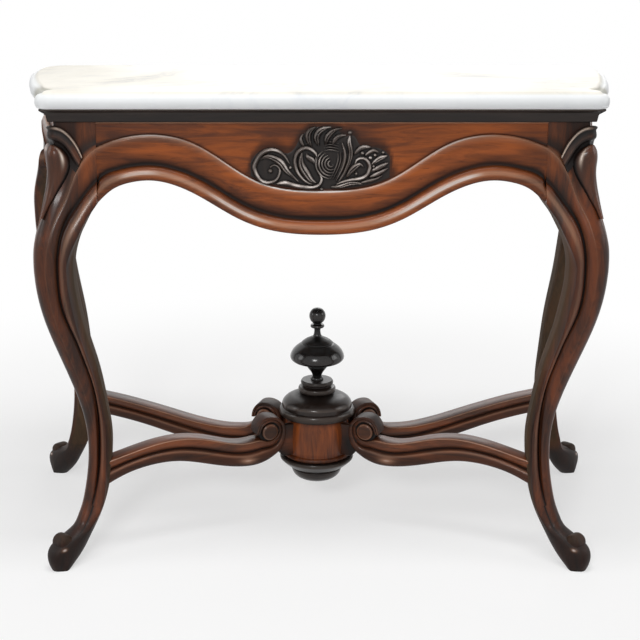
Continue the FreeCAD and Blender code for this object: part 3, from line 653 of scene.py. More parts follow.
def apron(name, edge, ridge, stations, to_table, ridge_glints=NO_GLINTS, bead_glints=NO_GLINTS):
    """A moulded board. to_table places a local point (along, proud of the frieze, height)."""
    edge_line, ridge_line = batten(whole(edge), 400), batten(whole(ridge), 400)
    reach = edge[-1][0]
    rings = []
    for along in np.linspace(-reach, reach, stations):
        low, top = read_off(edge_line, along), read_off(ridge_line, along)
        slope = (read_off(edge_line, along + 2) - read_off(edge_line, along - 2)) / 4
        quirk = low + (BEAD + 2) * math.hypot(1, slope)
        glint = float(np.interp(along, *zip(*bead_glints)))
        ring = [(RECESS - depth, low + (quirk - low) * share, dust_and_shade, wear_and_highlight * (1 + glint), 0)
                for share, depth, dust_and_shade, wear_and_highlight in bead_columns(BEAD_PROUD)]
        glint = float(np.interp(along, *zip(*ridge_glints)))
        ring += [(RECESS - depth, quirk + (top - quirk) * share, dust_and_shade,
                  wear_and_highlight + (glint if share > RIDGE_SHARE else 0), 0)
                 for share, depth, dust_and_shade, wear_and_highlight in band_columns(1.0)]
        # Painted shade where the ridge drops to the frieze.
        ring += [(0.8, top + 0.3, 0.8, 0, 0), (0.0, top + 1.2, 0.7, 0, 0)]
        near_end = smooth_step((abs(along) - reach + END_REACH) / (0.7 * END_REACH))
        # Painted shade on the frieze under the ridge and under the cornice, deeper near the ends.
        for share in np.linspace(0.04, 1, 17):
            dust_and_shade = (0.45 + 0.5 * near_end) * smooth_step(1 - share * (8 - 5 * near_end))
            dust_and_shade += 0.3 * max(0.0, share * 6 - 5)
            ring.append((0.0, top + 1.2 + (FIELD_TOP - top - 1.2) * share, dust_and_shade, 0, 0))
        # A painted highlight along the small fillet at the top of the frieze.
        ring += [(1.3, RAIL_TOP - 2.2, 0, 1, 0), (1.4, RAIL_TOP - 1.4, 0, 1, 0),
                 (0.3, RAIL_TOP, 0.3, 0.6, 0), (-RAIL, RAIL_TOP, 0, 0, 1),
                 (-RAIL, (RAIL_TOP + low) / 2, 0, 0, 1), (-RAIL, low, 0, 0, 1), (0.0, low, 0.2, 0, 0.5)]
        rings.append([to_table(along, out, z) + (max(dust_and_shade, END_SHADE * near_end), wear_and_highlight, dull_and_reflection)
                      for out, z, dust_and_shade, wear_and_highlight, dull_and_reflection in ring])
    return wrap(name, closed_ends(rings))


# %% Front and side aprons
front_apron = apron("front_apron_mesh", FRONT_EDGE, FRONT_RIDGE, 181,
                    lambda a, out, z: (a, -(FRIEZE + out), z), RIDGE_GLINTS, BEAD_GLINTS)
fitted(front_apron, "front_apron", walnut_rail)
SIDE_REACH = POST_FACE - POST


def side_place(side):
    """Places a side apron between the posts, which stand further apart at the back."""
    def place(along, out, z):
        share = (along + SIDE_REACH) / (2 * SIDE_REACH)
        face = FRONT_HALF + (BACK_HALF - FRONT_HALF) * share
        return (side * (face - RECESS + out), along, z)
    return place


for side_name, side in SIDES.items():
    board = apron(side_name + "_side_mesh", SIDE_EDGE, SIDE_RIDGE, 91, side_place(side))
    fitted(board, side_name + "_side_apron", walnut_side)
print("aprons:", len(front_apron.data.polygons), "faces on the front one")

# %% [markdown]
# ## Cabriole legs
# A cabriole leg is sawn from a square blank with the same pattern on two faces, then the
# mouldings of the aprons are carried down both faces. The sections here are rungs: each one
# runs from the inner edge of the front face, over bead, quirk, band and ridge, round the outer
# corner, and back over the side face; two inner flanks close it. At the top the rungs stand
# upright against the aprons; they turn as they come round the knee and lie level below it.

# %% Sawing pattern
LEG_OUTER = [(716, 0), (690, 0), (604, 10), (540, 27.5), (508, 29.5), (436, 23), (367, 5),
             (294, -17.5), (230, -32), (180, -34.5), (120, -28), (95, -22.5), (70, -13.5)]
TOE = [(70, -13.5), (64, -10), (60, -6.5), (56, -1), (52, 6), (48, 13), (44, 19), (40, 23.8),
       (35, 27.2), (27, 29.2), (19, 28.8), (10, 26.6), (0, 22.4)]
LEG_INNER = [(0, 6), (15, 18.5), (29, 28), (46, 37), (81, 54), (120, 65), (170, 71), (210, 72.5),
             (257, 68), (330, 57), (402, 41), (450, 33.5), (500, 30), (546, 40), (575, 54.5),
             (597, 70)]
KNEE_START, TOE_START, JOINT = 690, 70, 597
outer_line = batten(LEG_OUTER[1:], 400)
toe_line = batten(TOE, 200)
inner_line = batten(LEG_INNER, 400)


def outward(height):
    """How far the sawn outer face stands out from the post's face at a height."""
    if height >= KNEE_START:
        return 0.0
    return read_off(outer_line if height > TOE_START else toe_line, height)


def inward(height):
    """How far the sawn inner face stands in from the post's face at a height."""
    return read_off(inner_line, min(height, JOINT))


# Rungs of the knee: edge, quirk, ridge and far end, each as (in from the outer face, height).
KNEE = [
    ((70, 597), (70, 633), (70, 681), (70, 716)),
    ((62, 585.5), (59, 622), (58, 672), (46, 716)),
    ((54.5, 575), (45, 604), (46, 657), (24, 716)),
    ((46.5, 559.5), (33, 588), (35, 634), (7, 714)),
    ((40, 546), (22, 570), (24, 606), (0, 668)),
    ((34.5, 529), (14, 549), (9, 578), (0, 610)),
    ((31, 512), (10, 527), (-1, 550), (0, 566)),
    ((30, 497), (8.4, 508), (-7.5, 520), (0, 528)),
    ((30.3, 484), (8.0, 488), (-9.5, 493), (0, 496)),
]
QUIRK_LINE = [(488, 8), (452.6, 9.3), (419, 16), (385, 28), (349, 38), (313, 47), (276, 52.5),
              (240, 54), (205, 53.5), (170, 52), (137, 48.5), (105, 42), (85, 36)]
quirk_line = batten(QUIRK_LINE, 200)
ANKLE = 95.0
QUIRK_SHARE = 0.52
CORNER_ROUND = 20.0
EIGHTH = math.pi / 4
EASE = 7.0
LEG_BEAD_PROUD = 5.0
FLANK_ROUND = 7.0
KNEE_TOP = 713.5
STRIP_TUCK = 0.4
# Heights and reach of the painted shade on the knee's field, under the scroll.
HOLLOW_FROM, HOLLOW_RISE = 590, 70
SCROLL_EDGE, SCROLL_FADE = 58, 24


# %% Sections of a leg
def corner_round(height):
    """Radius of the rounded outer corner, smaller where the leg is slim."""
    return min(CORNER_ROUND, 0.34 * (inward(height) + outward(height)))


def knee_rungs(count):
    """Rungs evenly spread from the joint to the first level one."""
    return batten(np.array(KNEE, float).reshape(len(KNEE), -1), count).reshape(count, 4, 2)


def level_rung(height):
    """A level rung lower down the leg."""
    out = outward(height)
    radius = corner_round(height)
    if height >= ANKLE:
        quirk = (read_off(quirk_line, height), height)
    else:
        quirk = (QUIRK_SHARE * inward(height) - (1 - QUIRK_SHARE) * out, height)
    return (inward(height), height), quirk, (radius - out, height), (0, height)


def swapped(points):
    """The points of one face carried over the diagonal to the other face, in reverse order."""
    return [(v, u, z, g, r, b) for u, v, z, g, r, b in reversed(points)]


def leg_ring(rung, turned, shrink):
    """One section of a leg in (in from the side face, in from the front face, height, paint)."""
    edge, quirk, ridge, far = [np.array(point, float) for point in rung]
    inner = edge[0]
    edge = edge - np.array((EASE * turned * shrink, 0))
    face = []
    proud = LEG_BEAD_PROUD * shrink
    for share, depth, dust_and_shade, wear_and_highlight in bead_columns(proud):
        point = edge + (quirk - edge) * share
        # The bead's painted highlight fades down the leg.
        wear_and_highlight *= shrink ** 2 * (1 - 0.55 * turned)
        face.append((point, min(depth, QUIRK) * (shrink if depth > proud else 1), dust_and_shade, wear_and_highlight))
    for number, (share, depth, dust_and_shade, wear_and_highlight) in enumerate(band_columns(1 - turned)):
        point = quirk + (ridge - quirk) * share
        # A painted highlight on the band beside the quirk as the rungs turn; the ridge's fades.
        if number in (2, 3):
            dust_and_shade, wear_and_highlight = dust_and_shade * (1 - 0.5 * turned), 0.9 * turned
        face.append((point, depth * shrink, dust_and_shade, wear_and_highlight * (1 - 0.9 * turned) * shrink))
    radius = max(2.0, ridge[0] + outward(ridge[1]))
    end_depth = (1 - turned) * RECESS + turned * radius * (1 - math.cos(EIGHTH))
    if far[1] < KNEE_TOP:
        far = np.array((end_depth - outward(far[1]), far[1]))
    else:
        far = np.array((max(far[0], end_depth), RAIL_TOP))
    for step in range(1, 9):
        angle = EIGHTH * step / 8
        share = math.sin(angle) / math.sin(EIGHTH)
        point = ridge + (far - ridge) * share
        sunk = RECESS if step > 1 else RECESS - 0.6
        depth = (1 - turned) * sunk + turned * radius * (1 - math.cos(angle))
        # Painted shade on the field under the knee scroll and beside the ridge; darker round the outer
        # corner lower down.
        near_scroll = 0.25 + 0.65 * smooth_step((SCROLL_EDGE - point[0]) / SCROLL_FADE)
        beside_ridge = 0.98 * smooth_step(1.25 - share * 1.6)
        high = smooth_step((point[1] - HOLLOW_FROM) / HOLLOW_RISE)
        hollow = max(near_scroll, beside_ridge) * high
        face.append((point, depth, max(hollow, turned * (0.05 + 0.65 * share ** 2)), 0.0))
    front = [(p[0], depth - outward(p[1]), p[1], g, r, 0) for p, depth, g, r in face]
    height, start, soft = edge[1], front[0][1], inner - FLANK_ROUND
    # Inner flanks: thin polish with a painted olive reflection.
    flank = [(inner, start + (soft - start) * share, height, 0, 0, 1) for share in (0.25, 0.5, 0.8, 1)]
    arris = (inner - FLANK_ROUND * 0.29, inner - FLANK_ROUND * 0.29, height, 0, 0, 1)
    return front[::-1] + flank + [arris] + swapped(flank) + swapped(front)[::-1]


# %% [markdown]
# The ring above starts at the outer corner, so both halves meet on the diagonal. Feet end in a
# toe that points to the corner of the table: there the ring is pressed towards the diagonal
# until it is a rounded pad, with a small roll on top.

# %% Legs
FOOT_WIDTH = 20.0
KNEE_STATIONS = 46
PRESS_RUN = 45.0
HIGHLIGHT_STREAK_HEIGHT = 37.0
ROLL = (-7.0, 44.0, 14.0, 15.0)


def off_diagonal(along, across):
    """Turn by an eighth: distances along and off the diagonal, or in from the two faces."""
    return (along + across) / math.sqrt(2), (along - across) / math.sqrt(2)


def pressed(ring, height):
    """Trim a ring towards the diagonal below the ankle, painting it darker towards the foot."""
    amount = smooth_step((ANKLE - height) / PRESS_RUN)
    if amount <= 0:
        return ring
    out = []
    for u, v, z, g, r, b in ring:
        along, across = off_diagonal(u, v)
        squeezed = FOOT_WIDTH * math.tanh(across / FOOT_WIDTH * 1.15)
        across = across + (squeezed - across) * amount
        # A painted highlight: a short pale streak on the front of the pad under the roll.
        streak = math.exp(-((max(u, v) - 3.5) / 9) ** 2 - ((height - HIGHLIGHT_STREAK_HEIGHT) / 4) ** 2)
        if min(u, v) >= -5:
            streak = 0
        dust_and_shade = (g + (0.97 - g) * amount * 0.95) * (1 - streak ** 3)
        wear_and_highlight = r * (1 - amount) + 1.5 * streak
        out.append(off_diagonal(along, across) + (z, dust_and_shade, wear_and_highlight, b * (1 - amount)))
    return out


def toe_roll():
    """The roll on top of a toe: a short barrel that lies square to the diagonal."""
    place, height, radius, half = ROLL
    rings = []
    for step in range(21):
        share = math.sin(math.pi / 2 * (step / 10 - 1))
        size = radius * (1 - abs(share) ** 5) ** 0.4
        ring = []
        for turn in range(32):
            angle = 2 * math.pi * turn / 32
            spot = off_diagonal(place + size * math.cos(angle), share * half)
            rise = math.sin(angle)
            # The roll is painted dark, with a painted olive reflection on its upper half.
            ring.append(spot + (height + size * rise, 0.85, 0, 0.3 * max(0.0, rise)))
        rings.append(ring)
    return closed_ends(rings)


def leg_rings():
    """The whole leg from the knee to the floor, with a cap at each end."""
    rings = [leg_ring(rung, smooth_step((number / (KNEE_STATIONS - 1) - 0.38) / 0.5), 1.0)
             for number, rung in enumerate(knee_rungs(KNEE_STATIONS))]
    for height in [*np.linspace(478, 100, 64), *np.linspace(97, 0, 66)]:
        shrink = 0.05 + 0.95 * smooth_step((height - 55) / 140)
        rings.append(pressed(leg_ring(level_rung(height), 1.0, shrink), height))
    rings = np.array(rings, float)
    top = rings[:1].copy()
    top[..., :2] = POST
    floor_cap = rings[-1:].copy()
    floor_cap[..., :2] = floor_cap[..., :2].mean(axis=1, keepdims=True)
    return np.concatenate([top, rings, floor_cap])


def at_corner(rings, side, end):
    """Points given inwards from the outer faces of a post, set at one corner of the table."""
    placed = rings.copy()
    placed[..., 0] = side * (half_width(end) - rings[..., 0])
    placed[..., 1] = end * (POST_FACE - rings[..., 1])
    return placed


# %% Saw the legs
pattern, roll = leg_rings(), toe_roll()
for corner, side, end in CORNERS:
    name = corner + "_leg"
    sawn = at_corner(pattern, side, end)
    in_strip = sawn[..., 2] > STRIP_LOW
    sawn[in_strip, 1] = np.minimum(sawn[in_strip, 1], POST_FACE - STRIP_TUCK)
    leg = joined(name + "_mesh", [wrap(name + "_sawn", sawn),
                                  wrap(name + "_roll", at_corner(roll, side, end))])
    fitted(leg, name, walnut_leg)
print("legs:", len(leg.data.polygons), "faces each")

# %% [markdown]
# ## Knee scrolls
# Where leg and apron meet, the carver hid the corner under a curled leaf: a round lip that runs
# over the corner of the table, a hollow under it, painted dark as shade, and a tongue that
# comes out of the hollow and tapers down the corner of the leg. The lip is a tube bent along
# its line; the tongue is a cushion wrapped round the corner.

# %% Lip and tongue
LIP_EDGE = [(0, 713.4), (8, 713.0), (17, 710.6), (26, 704.6), (34, 695.4), (41.5, 684), (49, 668)]
LIP_INNER = [(0, 691), (9, 689.6), (18, 684.6), (26, 676.4), (32, 667.6), (37.5, 659), (43, 652)]
TONGUE_EDGE = [(685.5, 0), (684.5, 6), (681, 15), (675, 22.5), (668, 27), (660, 29.2), (650, 28.4),
               (637, 23.5), (619, 12.5), (604, 4), (590, -5), (576, -13)]
tongue_line = batten(TONGUE_EDGE, 200)
CORNER = 10.0
LIP_STATIONS = 101
LIP_BACK, TONGUE_BACK = -9.0, -9.5
CURL_HEIGHT, CURL_REACH = 668, 17
# Across the lip: (share from the rim inwards, proud, dust_and_shade, wear_and_highlight), with a thin
# painted highlight on the rim and painted shade in the hollow under it.
LIP_FACE = [(0.0, -3.5, 1, 0), (0.02, 1.4, 0.6, 0.3), (0.06, 3.6, 0, 1), (0.12, 4.4, 0, 1),
            (0.18, 3.9, 0.5, 0.4), (0.25, 2.6, 1, 0), (0.35, 2.4, 1, 0), (0.5, 3.2, 0.85, 0),
            (0.65, 3.6, 0.6, 0.1), (0.8, 3.0, 0.9, 0), (0.92, 0.6, 1, 0), (1.0, -3.5, 1, 0),
            (1.12, -5.0, 1, 0), (1.5, -5.6, 1, 0)]


def on_corner(along, proud, height):
    """A point on the rounded corner of a post, along its surface from the arris."""
    bend = CORNER * EIGHTH
    if abs(along) >= bend:
        u, v = CORNER + abs(along) - bend, -proud
    else:
        angle = EIGHTH - abs(along) / CORNER
        reach = CORNER + proud
        u, v = CORNER - reach * math.sin(angle), CORNER - reach * math.cos(angle)
    out = outward(height)
    return (u - out, v - out, height) if along >= 0 else (v - out, u - out, height)


def lip_rings(relief):
    """Sections across the curled lip, from its rim to the hollow under it."""
    rings = []
    lines = [batten(whole(half), LIP_STATIONS) for half in (LIP_EDGE, LIP_INNER)]
    for number, (outer, inner) in enumerate(zip(*lines)):
        turn = math.pi * number / (LIP_STATIONS - 1)
        taper = min(1.0, 1.25 * math.sin(turn) ** 0.6 + 0.12) * relief
        front = smooth_step(outer[0] / 12) * relief
        ring = []
        for share, proud, dust_and_shade, wear_and_highlight in LIP_FACE:
            along, height = outer + (inner - outer) * share
            # The lower end of the hollow is painted browner.
            if 0.3 < share < 0.7:
                dust_and_shade *= 1 - 0.6 * smooth_step((outer[0] - 32) / 10)
            # The half over the side face is painted dark as shade and loses most of the highlight.
            ring.append(on_corner(along, proud * taper, height)
                        + (max(dust_and_shade, 0.95 * (1 - front)), wear_and_highlight * (0.1 + 0.9 * front), 0))
        for share in (1.5, 0.8, 0.2):
            along, height = outer + (inner - outer) * share
            ring.append(on_corner(along, LIP_BACK, height) + (1, 0, 0))
        rings.append(ring)
    return closed_ends(rings)


def tongue_rings(relief):
    """Sections across the tongue, level rings from its curled top to its tip."""
    top, tip = TONGUE_EDGE[0][0], TONGUE_EDGE[-1][0]
    rings = []
    for height in [*(top - np.linspace(0, 1, 18)[1:] ** 2 * 24), *np.linspace(659, tip, 40)]:
        half = max(1.0, read_off(tongue_line, height) + outward(height))
        curl = math.exp(-((height - CURL_HEIGHT) / CURL_REACH) ** 2)
        proud = relief * (1.7 + 3.6 * curl) * math.sqrt(min(1.0, (top - height) / 9))
        proud *= min(1.0, (height - tip) / 30)
        ring = []
        for step in range(45):
            share = 2 * step / 44 - 1
            rise = (1 - abs(share) ** 3.2) ** 0.7
            surface = -7.5 + (7.5 + proud) * rise
            # Painted shade where the tongue sinks at its edges and over its half on the side face; a
            # painted highlight along the curl on the front half.
            dust_and_shade = 0.95 * smooth_step((abs(share) - 0.72) / 0.22) + 0.25 * (1 - curl) * abs(share)
            dust_and_shade = max(dust_and_shade, 0.75 * smooth_step(-share * 4))
            wear_and_highlight = curl ** 2 * math.exp(-((share - 0.66) / 0.07) ** 2) * 1.5
            ring.append(on_corner(share * half, surface, height) + (dust_and_shade, wear_and_highlight * (1 - dust_and_shade), 0))
        for share in (0.7, 0.0, -0.7):
            ring.append(on_corner(share * half, TONGUE_BACK, height) + (1, 0, 0))
        rings.append(ring)
    return closed_ends(rings)


# %% Set the knee scrolls
RELIEF = {-1: 1.0, 1: 0.25}
for corner, side, end in CORNERS:
    name = corner + "_knee_scroll"
    parts = [wrap(name + part, at_corner(rings(RELIEF[end]), side, end))
             for part, rings in (("_lip", lip_rings), ("_tongue", tongue_rings))]
    fitted(joined(name + "_mesh", parts), name, walnut_scroll)
print("knee scrolls: 4")

# %% [markdown]
# ## Cartouche
# The carving in the middle of the apron is cut in low relief: a C-scroll with a curled leaf on
# the left, a shell under a fan of leaves in the middle, and sprays with berries round a second
# scroll on the right. A carver sinks the ground and leaves the leaves standing. The mesh is
# made the same way: a fine grid lies on the ground, each stroke raises the points near its
# line, and where strokes meet the higher one wins. Points that no stroke and no ground
# reach are cut away, and the rim is turned back into the apron. The sunk ground and the
# hollows are painted dark, as dust and as painted shade, and crests that face up carry
# painted highlights.

# %% Strokes of the carving
# Each stroke has a cut (its relief, its vein, its cross ribs) and a line of (x, height, half width).
STEM, SPRIG, LEAF = (7.5, 0.0, 0.0), (5.5, 0.12, 0.25), (8.2, 0.30, 0.45)
STROKES = [
    (STEM, [(-49, 657, 1.5), (-58, 670, 2.4), (-68, 676, 3.1), (-77, 677, 3.4), (-88, 673, 3.7),
            (-97, 662, 3.7), (-101, 650, 3.7), (-97, 638, 3.4), (-88, 629, 3.1), (-77, 628, 2.8),
            (-68, 632, 2.4), (-63, 641, 2.3), (-64, 650, 2.0), (-71, 654, 1.7), (-77, 651, 1.4)]),
    (LEAF, [(-94, 661, 1.2), (-84, 667, 3.1), (-71, 664, 4.9), (-61, 657, 5.5), (-53, 646, 4.3),
            (-43, 637, 2.4), (-35, 629, 1.2)]),
    (STEM, [(-10, 660, 1.4), (-8, 668, 2.3), (-14, 676, 3.1), (-23, 680, 3.4), (-32, 677, 3.4),
            (-38, 669, 3.1), (-40, 657, 3.1), (-37, 645, 3.1), (-29, 634, 2.8), (-19, 627, 2.1),
            (-9, 625, 1.4)]),
    (LEAF, [(-30, 672, 1.5), (-31, 662, 3.7), (-29, 651, 5.8), (-23, 641, 6.1), (-15, 631, 3.4),
            (-8, 627, 1.2)]),
    (SPRIG, [(-23, 670, 1.2), (-19, 665, 4.0), (-13, 661, 3.7), (-9, 654, 1.5)]),
    (STEM, [(-66, 626, 1.8), (-55, 627, 4.0), (-43, 624, 3.7), (-28, 621, 3.7), (-11, 621, 3.4),
            (-2, 626, 2.8), (0, 634, 2.1), (-5, 641, 1.2)]),
    (LEAF, [(-16, 683, 1.5), (-20, 692, 4.0), (-20, 701, 4.6), (-15, 708, 3.1), (-10, 711, 1.2)]),
    (LEAF, [(-5, 685, 1.8), (-8, 694, 4.6), (-5, 703, 4.9), (3, 709, 3.4), (13, 711, 1.2)]),
    (LEAF, [(6, 686, 1.5), (8, 695, 4.3), (14, 703, 4.0), (22, 708, 2.1), (29, 709, 1.2)]),
    (SPRIG, [(16, 685, 1.2), (20, 693, 3.7), (27, 698, 3.1), (35, 699, 1.2)]),
    (SPRIG, [(-25, 681, 1.2), (-30, 688, 2.8), (-31, 695, 2.1), (-28, 700, 1.2)]),
    (LEAF, [(42, 698, 1.2), (41, 689, 3.1), (43, 678, 3.7), (43, 665, 3.4), (39, 653, 2.8),
            (33, 640, 2.1), (26, 629, 1.2)]),
    (STEM, [(30, 688, 0.9), (34, 677, 2.2), (35, 664, 2.6), (32, 651, 2.2), (26, 638, 1.5),
            (22, 630, 0.9)]),
    (STEM, [(50, 656, 1.5), (55, 663, 2.3), (63, 664, 2.8), (70, 658, 3.1), (72, 649, 3.1),
            (68, 639, 3.1), (59, 634, 3.1), (46, 632, 2.8), (33, 629, 2.1), (23, 625, 1.2)]),
    (LEAF, [(38, 636, 1.2), (43, 644, 3.7), (50, 651, 4.6), (58, 655, 2.4), (63, 651, 1.2)]),
    (LEAF, [(74, 654, 1.2), (81, 660, 3.1), (89, 665, 3.7), (97, 668, 1.5)]),
    (SPRIG, [(73, 645, 1.2), (81, 648, 3.4), (91, 653, 3.7), (99, 657, 1.5)]),
    (SPRIG, [(72, 636, 1.2), (80, 639, 3.1), (90, 644, 3.4), (99, 649, 1.2)]),
    (SPRIG, [(49, 670, 1.2), (55, 677, 3.4), (63, 681, 3.7), (72, 681, 1.5)]),
    (SPRIG, [(65, 668, 1.2), (71, 673, 2.8), (78, 676, 2.8), (85, 673, 1.2)]),
    (LEAF, [(16, 621, 1.5), (28, 622, 3.1), (40, 626, 4.0), (52, 627, 3.1), (61, 625, 1.2)]),
    (SPRIG, [(59, 627, 1.2), (70, 630, 2.8), (81, 633, 2.4), (91, 638, 1.2)]),
]
BERRIES = [(61, 672, 3.0), (73, 665, 2.8), (80, 669, 2.6), (-77, 645, 3.4), (42, 703, 3.2),
           (78, 652, 2.2), (0, 617.5, 2.6), (52, 641, 2.4), (-47, 650, 2.4), (92, 673, 2.2)]
RIBS = [((4.5, 0, 0), [(4, z - 1, 0.9), (11, z + 1.2, 1.5), (18, z + 0.4, 1.5), (26, z - 2, 0.9)])
        for z in (688, 684, 680, 676)]
RIBS += [((5.0, 0, 0), [(x + 3, 673, 0.8), (x + 3, 661, 1.5), (x - 1, 648, 1.6), (x - 8, 633, 0.9)])
         for x in (21.5, 25.5, 29.0)]
SHELL = (14, 656)
SHELL_RADII = [4.5, 9.0, 13.5, 18.0, 22.5]
SHELL_SPAN = [(100, 330), (105, 318), (112, 300), (118, 285), (124, 272)]
# Places on the carving, as (x, height), where the painted highlights are strongest.
HIGHLIGHT_SPOTS = [(-71, 676), (-60, 658), (-54, 649), (-94, 642), (-86, 632), (-57, 626), (-37, 623),
        (-15, 622), (-30, 645), (-24, 634), (-16, 629), (-14, 675), (-9, 664), (0, 637), (4, 711),
        (14, 669), (42, 693), (65, 680), (73, 667), (55, 662), (82, 660), (91, 666), (58, 635),
        (45, 626), (33, 622), (80, 646)]
GROUND_TOP = [(-112, 640), (-106, 664), (-90, 681), (-70, 684), (-50, 676), (-42, 682), (-34, 696),
              (-18, 712), (16, 713.5), (27, 708), (34, 701), (46, 703), (58, 688), (76, 685), (94, 680),
              (104, 668), (108, 645)]

# %% Raise the strokes from the ground
CELL = 0.8
GROUND = 0.35
SUNK = -0.9
CARVED_PROUD = 9.0
LEFT, RIGHT, LOW, HIGH = -113, 110, 611, 714.6
RIB_PITCH = 3.4


def tube_height(X, Z, line, relief, vein=0.0, ribs=0.0):
    """The relief of one stroke over the whole grid, and SUNK where it doesn't reach."""
    height = np.zeros_like(X)
    nearest = np.full_like(X, 99.0)
    along = np.zeros_like(X)
    steps = np.concatenate([[0], np.cumsum(np.linalg.norm(np.diff(line[:, :2], axis=0), axis=1))])
    for (x, z, half), run in zip(line, steps):
        half = max(half, 0.8)
        rows = np.abs(Z[:, 0] - z) < half + 1
        columns = np.abs(X[0] - x) < half + 1
        window = np.ix_(rows, columns)
        away = np.hypot(X[window] - x, Z[window] - z)
        rise = relief * min(1.0, half / 3.0) * np.sqrt(np.clip(1 - (away / half) ** 2, 0, None))
        height[window] = np.maximum(height[window], rise)
        closer = away < nearest[window]
        nearest[window] = np.where(closer, away, nearest[window])
        along[window] = np.where(closer, run, along[window])
    height *= 1 - vein * np.exp(-((nearest / 0.9) ** 2))
    waves = 0.5 + 0.5 * np.cos((along - nearest) * 2 * math.pi / RIB_PITCH)
    height -= ribs * waves * (height > 1.0)
    return np.where(height > 0, height, SUNK)


def blurred(values, reach):
    """Mean over a square window, along one axis and then the other."""
    for _ in range(2):
        padded = np.pad(values, ((0, 0), (reach, reach)), mode="edge")
        total = np.cumsum(np.pad(padded, ((0, 0), (1, 0))), axis=1)
        values = ((total[:, 2 * reach + 1:] - total[:, :-2 * reach - 1]) / (2 * reach + 1)).T
    return values


def carved_heights():
    """Grid coordinates and the relief of the carving over the frieze."""
    X, Z = np.meshgrid(np.arange(LEFT, RIGHT, CELL), np.arange(LOW, HIGH, CELL))
    top_marks, ridge_line = batten(GROUND_TOP, 120), batten(whole(FRONT_RIDGE), 400)
    top = np.interp(X[0], *top_marks.T, left=0, right=0)
    low = np.interp(X[0], *ridge_line.T) - 1.5
    inside = np.minimum(top[None, :] - Z, Z - low[None, :])
    inside = np.minimum(inside, np.minimum(X + 111, 107 - X))
    height = SUNK + (GROUND - SUNK) * np.clip(inside / 6, 0, 1)
    raised = [(batten(marks, 16 * len(marks)), *cut) for cut, marks in STROKES + RIBS]
    for radius, (start, stop) in zip(SHELL_RADII, SHELL_SPAN):
        angles = np.radians(np.linspace(start, stop, 90))
        half = 2.3 * np.sin(np.linspace(0.35, math.pi - 0.2, 90))
        arc = [SHELL[0] + radius * np.cos(angles), SHELL[1] + radius * np.sin(angles), half]
        raised.append((np.stack(arc, 1), 6.5))
    raised += [(np.array([berry]), 7.0) for berry in BERRIES]
    for line, *cut in raised:
        height = np.maximum(height, tube_height(X, Z, line, *cut))
    return X, Z, np.minimum(height, CARVED_PROUD)


# %% Cut the cartouche out
HIGHLIGHT_BASE, HIGHLIGHT_REACH = 0.18, 9.0
CUT_DEPTH, RIM_DEPTH, HALO = 0.7, 1.5, 16.0
X, Z, relief = carved_heights()
cavity = blurred(relief, 3) - relief
slope = np.hypot(*np.gradient(relief, CELL))
# How far a surface faces up: painted light from above.
lit_from_above = np.clip(0.22 - 0.9 * blurred(np.gradient(relief, CELL, axis=0), 1), 0, 1)
spot_highlight = np.zeros_like(X)
for x, z in HIGHLIGHT_SPOTS:
    spot_highlight = np.maximum(spot_highlight, np.exp(-((X - x) ** 2 + (Z - z) ** 2) / HIGHLIGHT_REACH ** 2))
spot_highlight = HIGHLIGHT_BASE + (1 - HIGHLIGHT_BASE) * spot_highlight
# Dark in the hollows and on the low ground, as dust and as painted shade.
dirt = np.clip(0.30 + cavity * 0.42 + (relief < 2.2) * 0.45, 0, 1)
# Painted highlights on crests that face up, strongest near the listed spots.
cartouche_highlight = np.clip((-cavity * 1.1 - slope * 0.1) * lit_from_above * 2.2, 0, 1) * spot_highlight * 1.35
layers = [X, -(FRIEZE + relief), Z, dirt, cartouche_highlight, np.zeros_like(X)]
cartouche = wrap("cartouche", np.stack(layers, axis=2), closed=False)
bpy.ops.object.mode_set(mode="EDIT")
bpy.ops.mesh.select_mode(type="FACE")
bpy.ops.mesh.select_all(action="DESELECT")
bpy.ops.object.mode_set(mode="OBJECT")
sunk = (FRIEZE - CUT_DEPTH) * MM
for face in cartouche.data.polygons:
    face.select = all(-cartouche.data.vertices[i].co.y < sunk for i in face.vertices)
bpy.ops.object.mode_set(mode="EDIT")
bpy.ops.mesh.delete(type="FACE")
bpy.ops.mesh.select_all(action="SELECT")
bpy.ops.mesh.region_to_loop()
bpy.ops.mesh.extrude_edges_move(TRANSFORM_OT_translate={"value": (0, RIM_DEPTH * MM, 0)})
bpy.ops.mesh.select_mode(type="VERT")
bpy.ops.mesh.edge_face_add()
bpy.ops.object.mode_set(mode="OBJECT")
finish_mesh(cartouche)
fitted(cartouche, "apron_carving", carved_walnut)
# %% Darker frieze round the cartouche
dust_and_shade = front_apron.data.attributes["dust_and_shade"]
top_marks = np.array(GROUND_TOP).T
for vertex, value in zip(front_apron.data.vertices, dust_and_shade.data):
    x, height = vertex.co.x / MM, vertex.co.z / MM
    beside = max(0.0, abs(x + 2) - 108)
    above = max(0.0, height - np.interp(x, *top_marks))
    # The frieze is painted darker near the carving's outline, fading out over HALO.
    if 0 < -vertex.co.y < (FRIEZE + 0.5) * MM:
        value.value = max(value.value, 0.85 * smooth_step(1 - math.hypot(beside, above) / HALO))
print("cartouche:", len(STROKES), "strokes,", len(cartouche.data.polygons), "faces")

# %% [markdown]
# ## Cornice
# A dark hollow moulding carries the slab. It is planed in lengths and mitred at the corners,
# so one section is set at each corner of the plan, on the mitre line, and bridged between.

# %% Cornice strips
COVE_WIDTH = 21.0
OVERHANG = edge_of("front_cornice", 1, 0) - FRONT_HALF


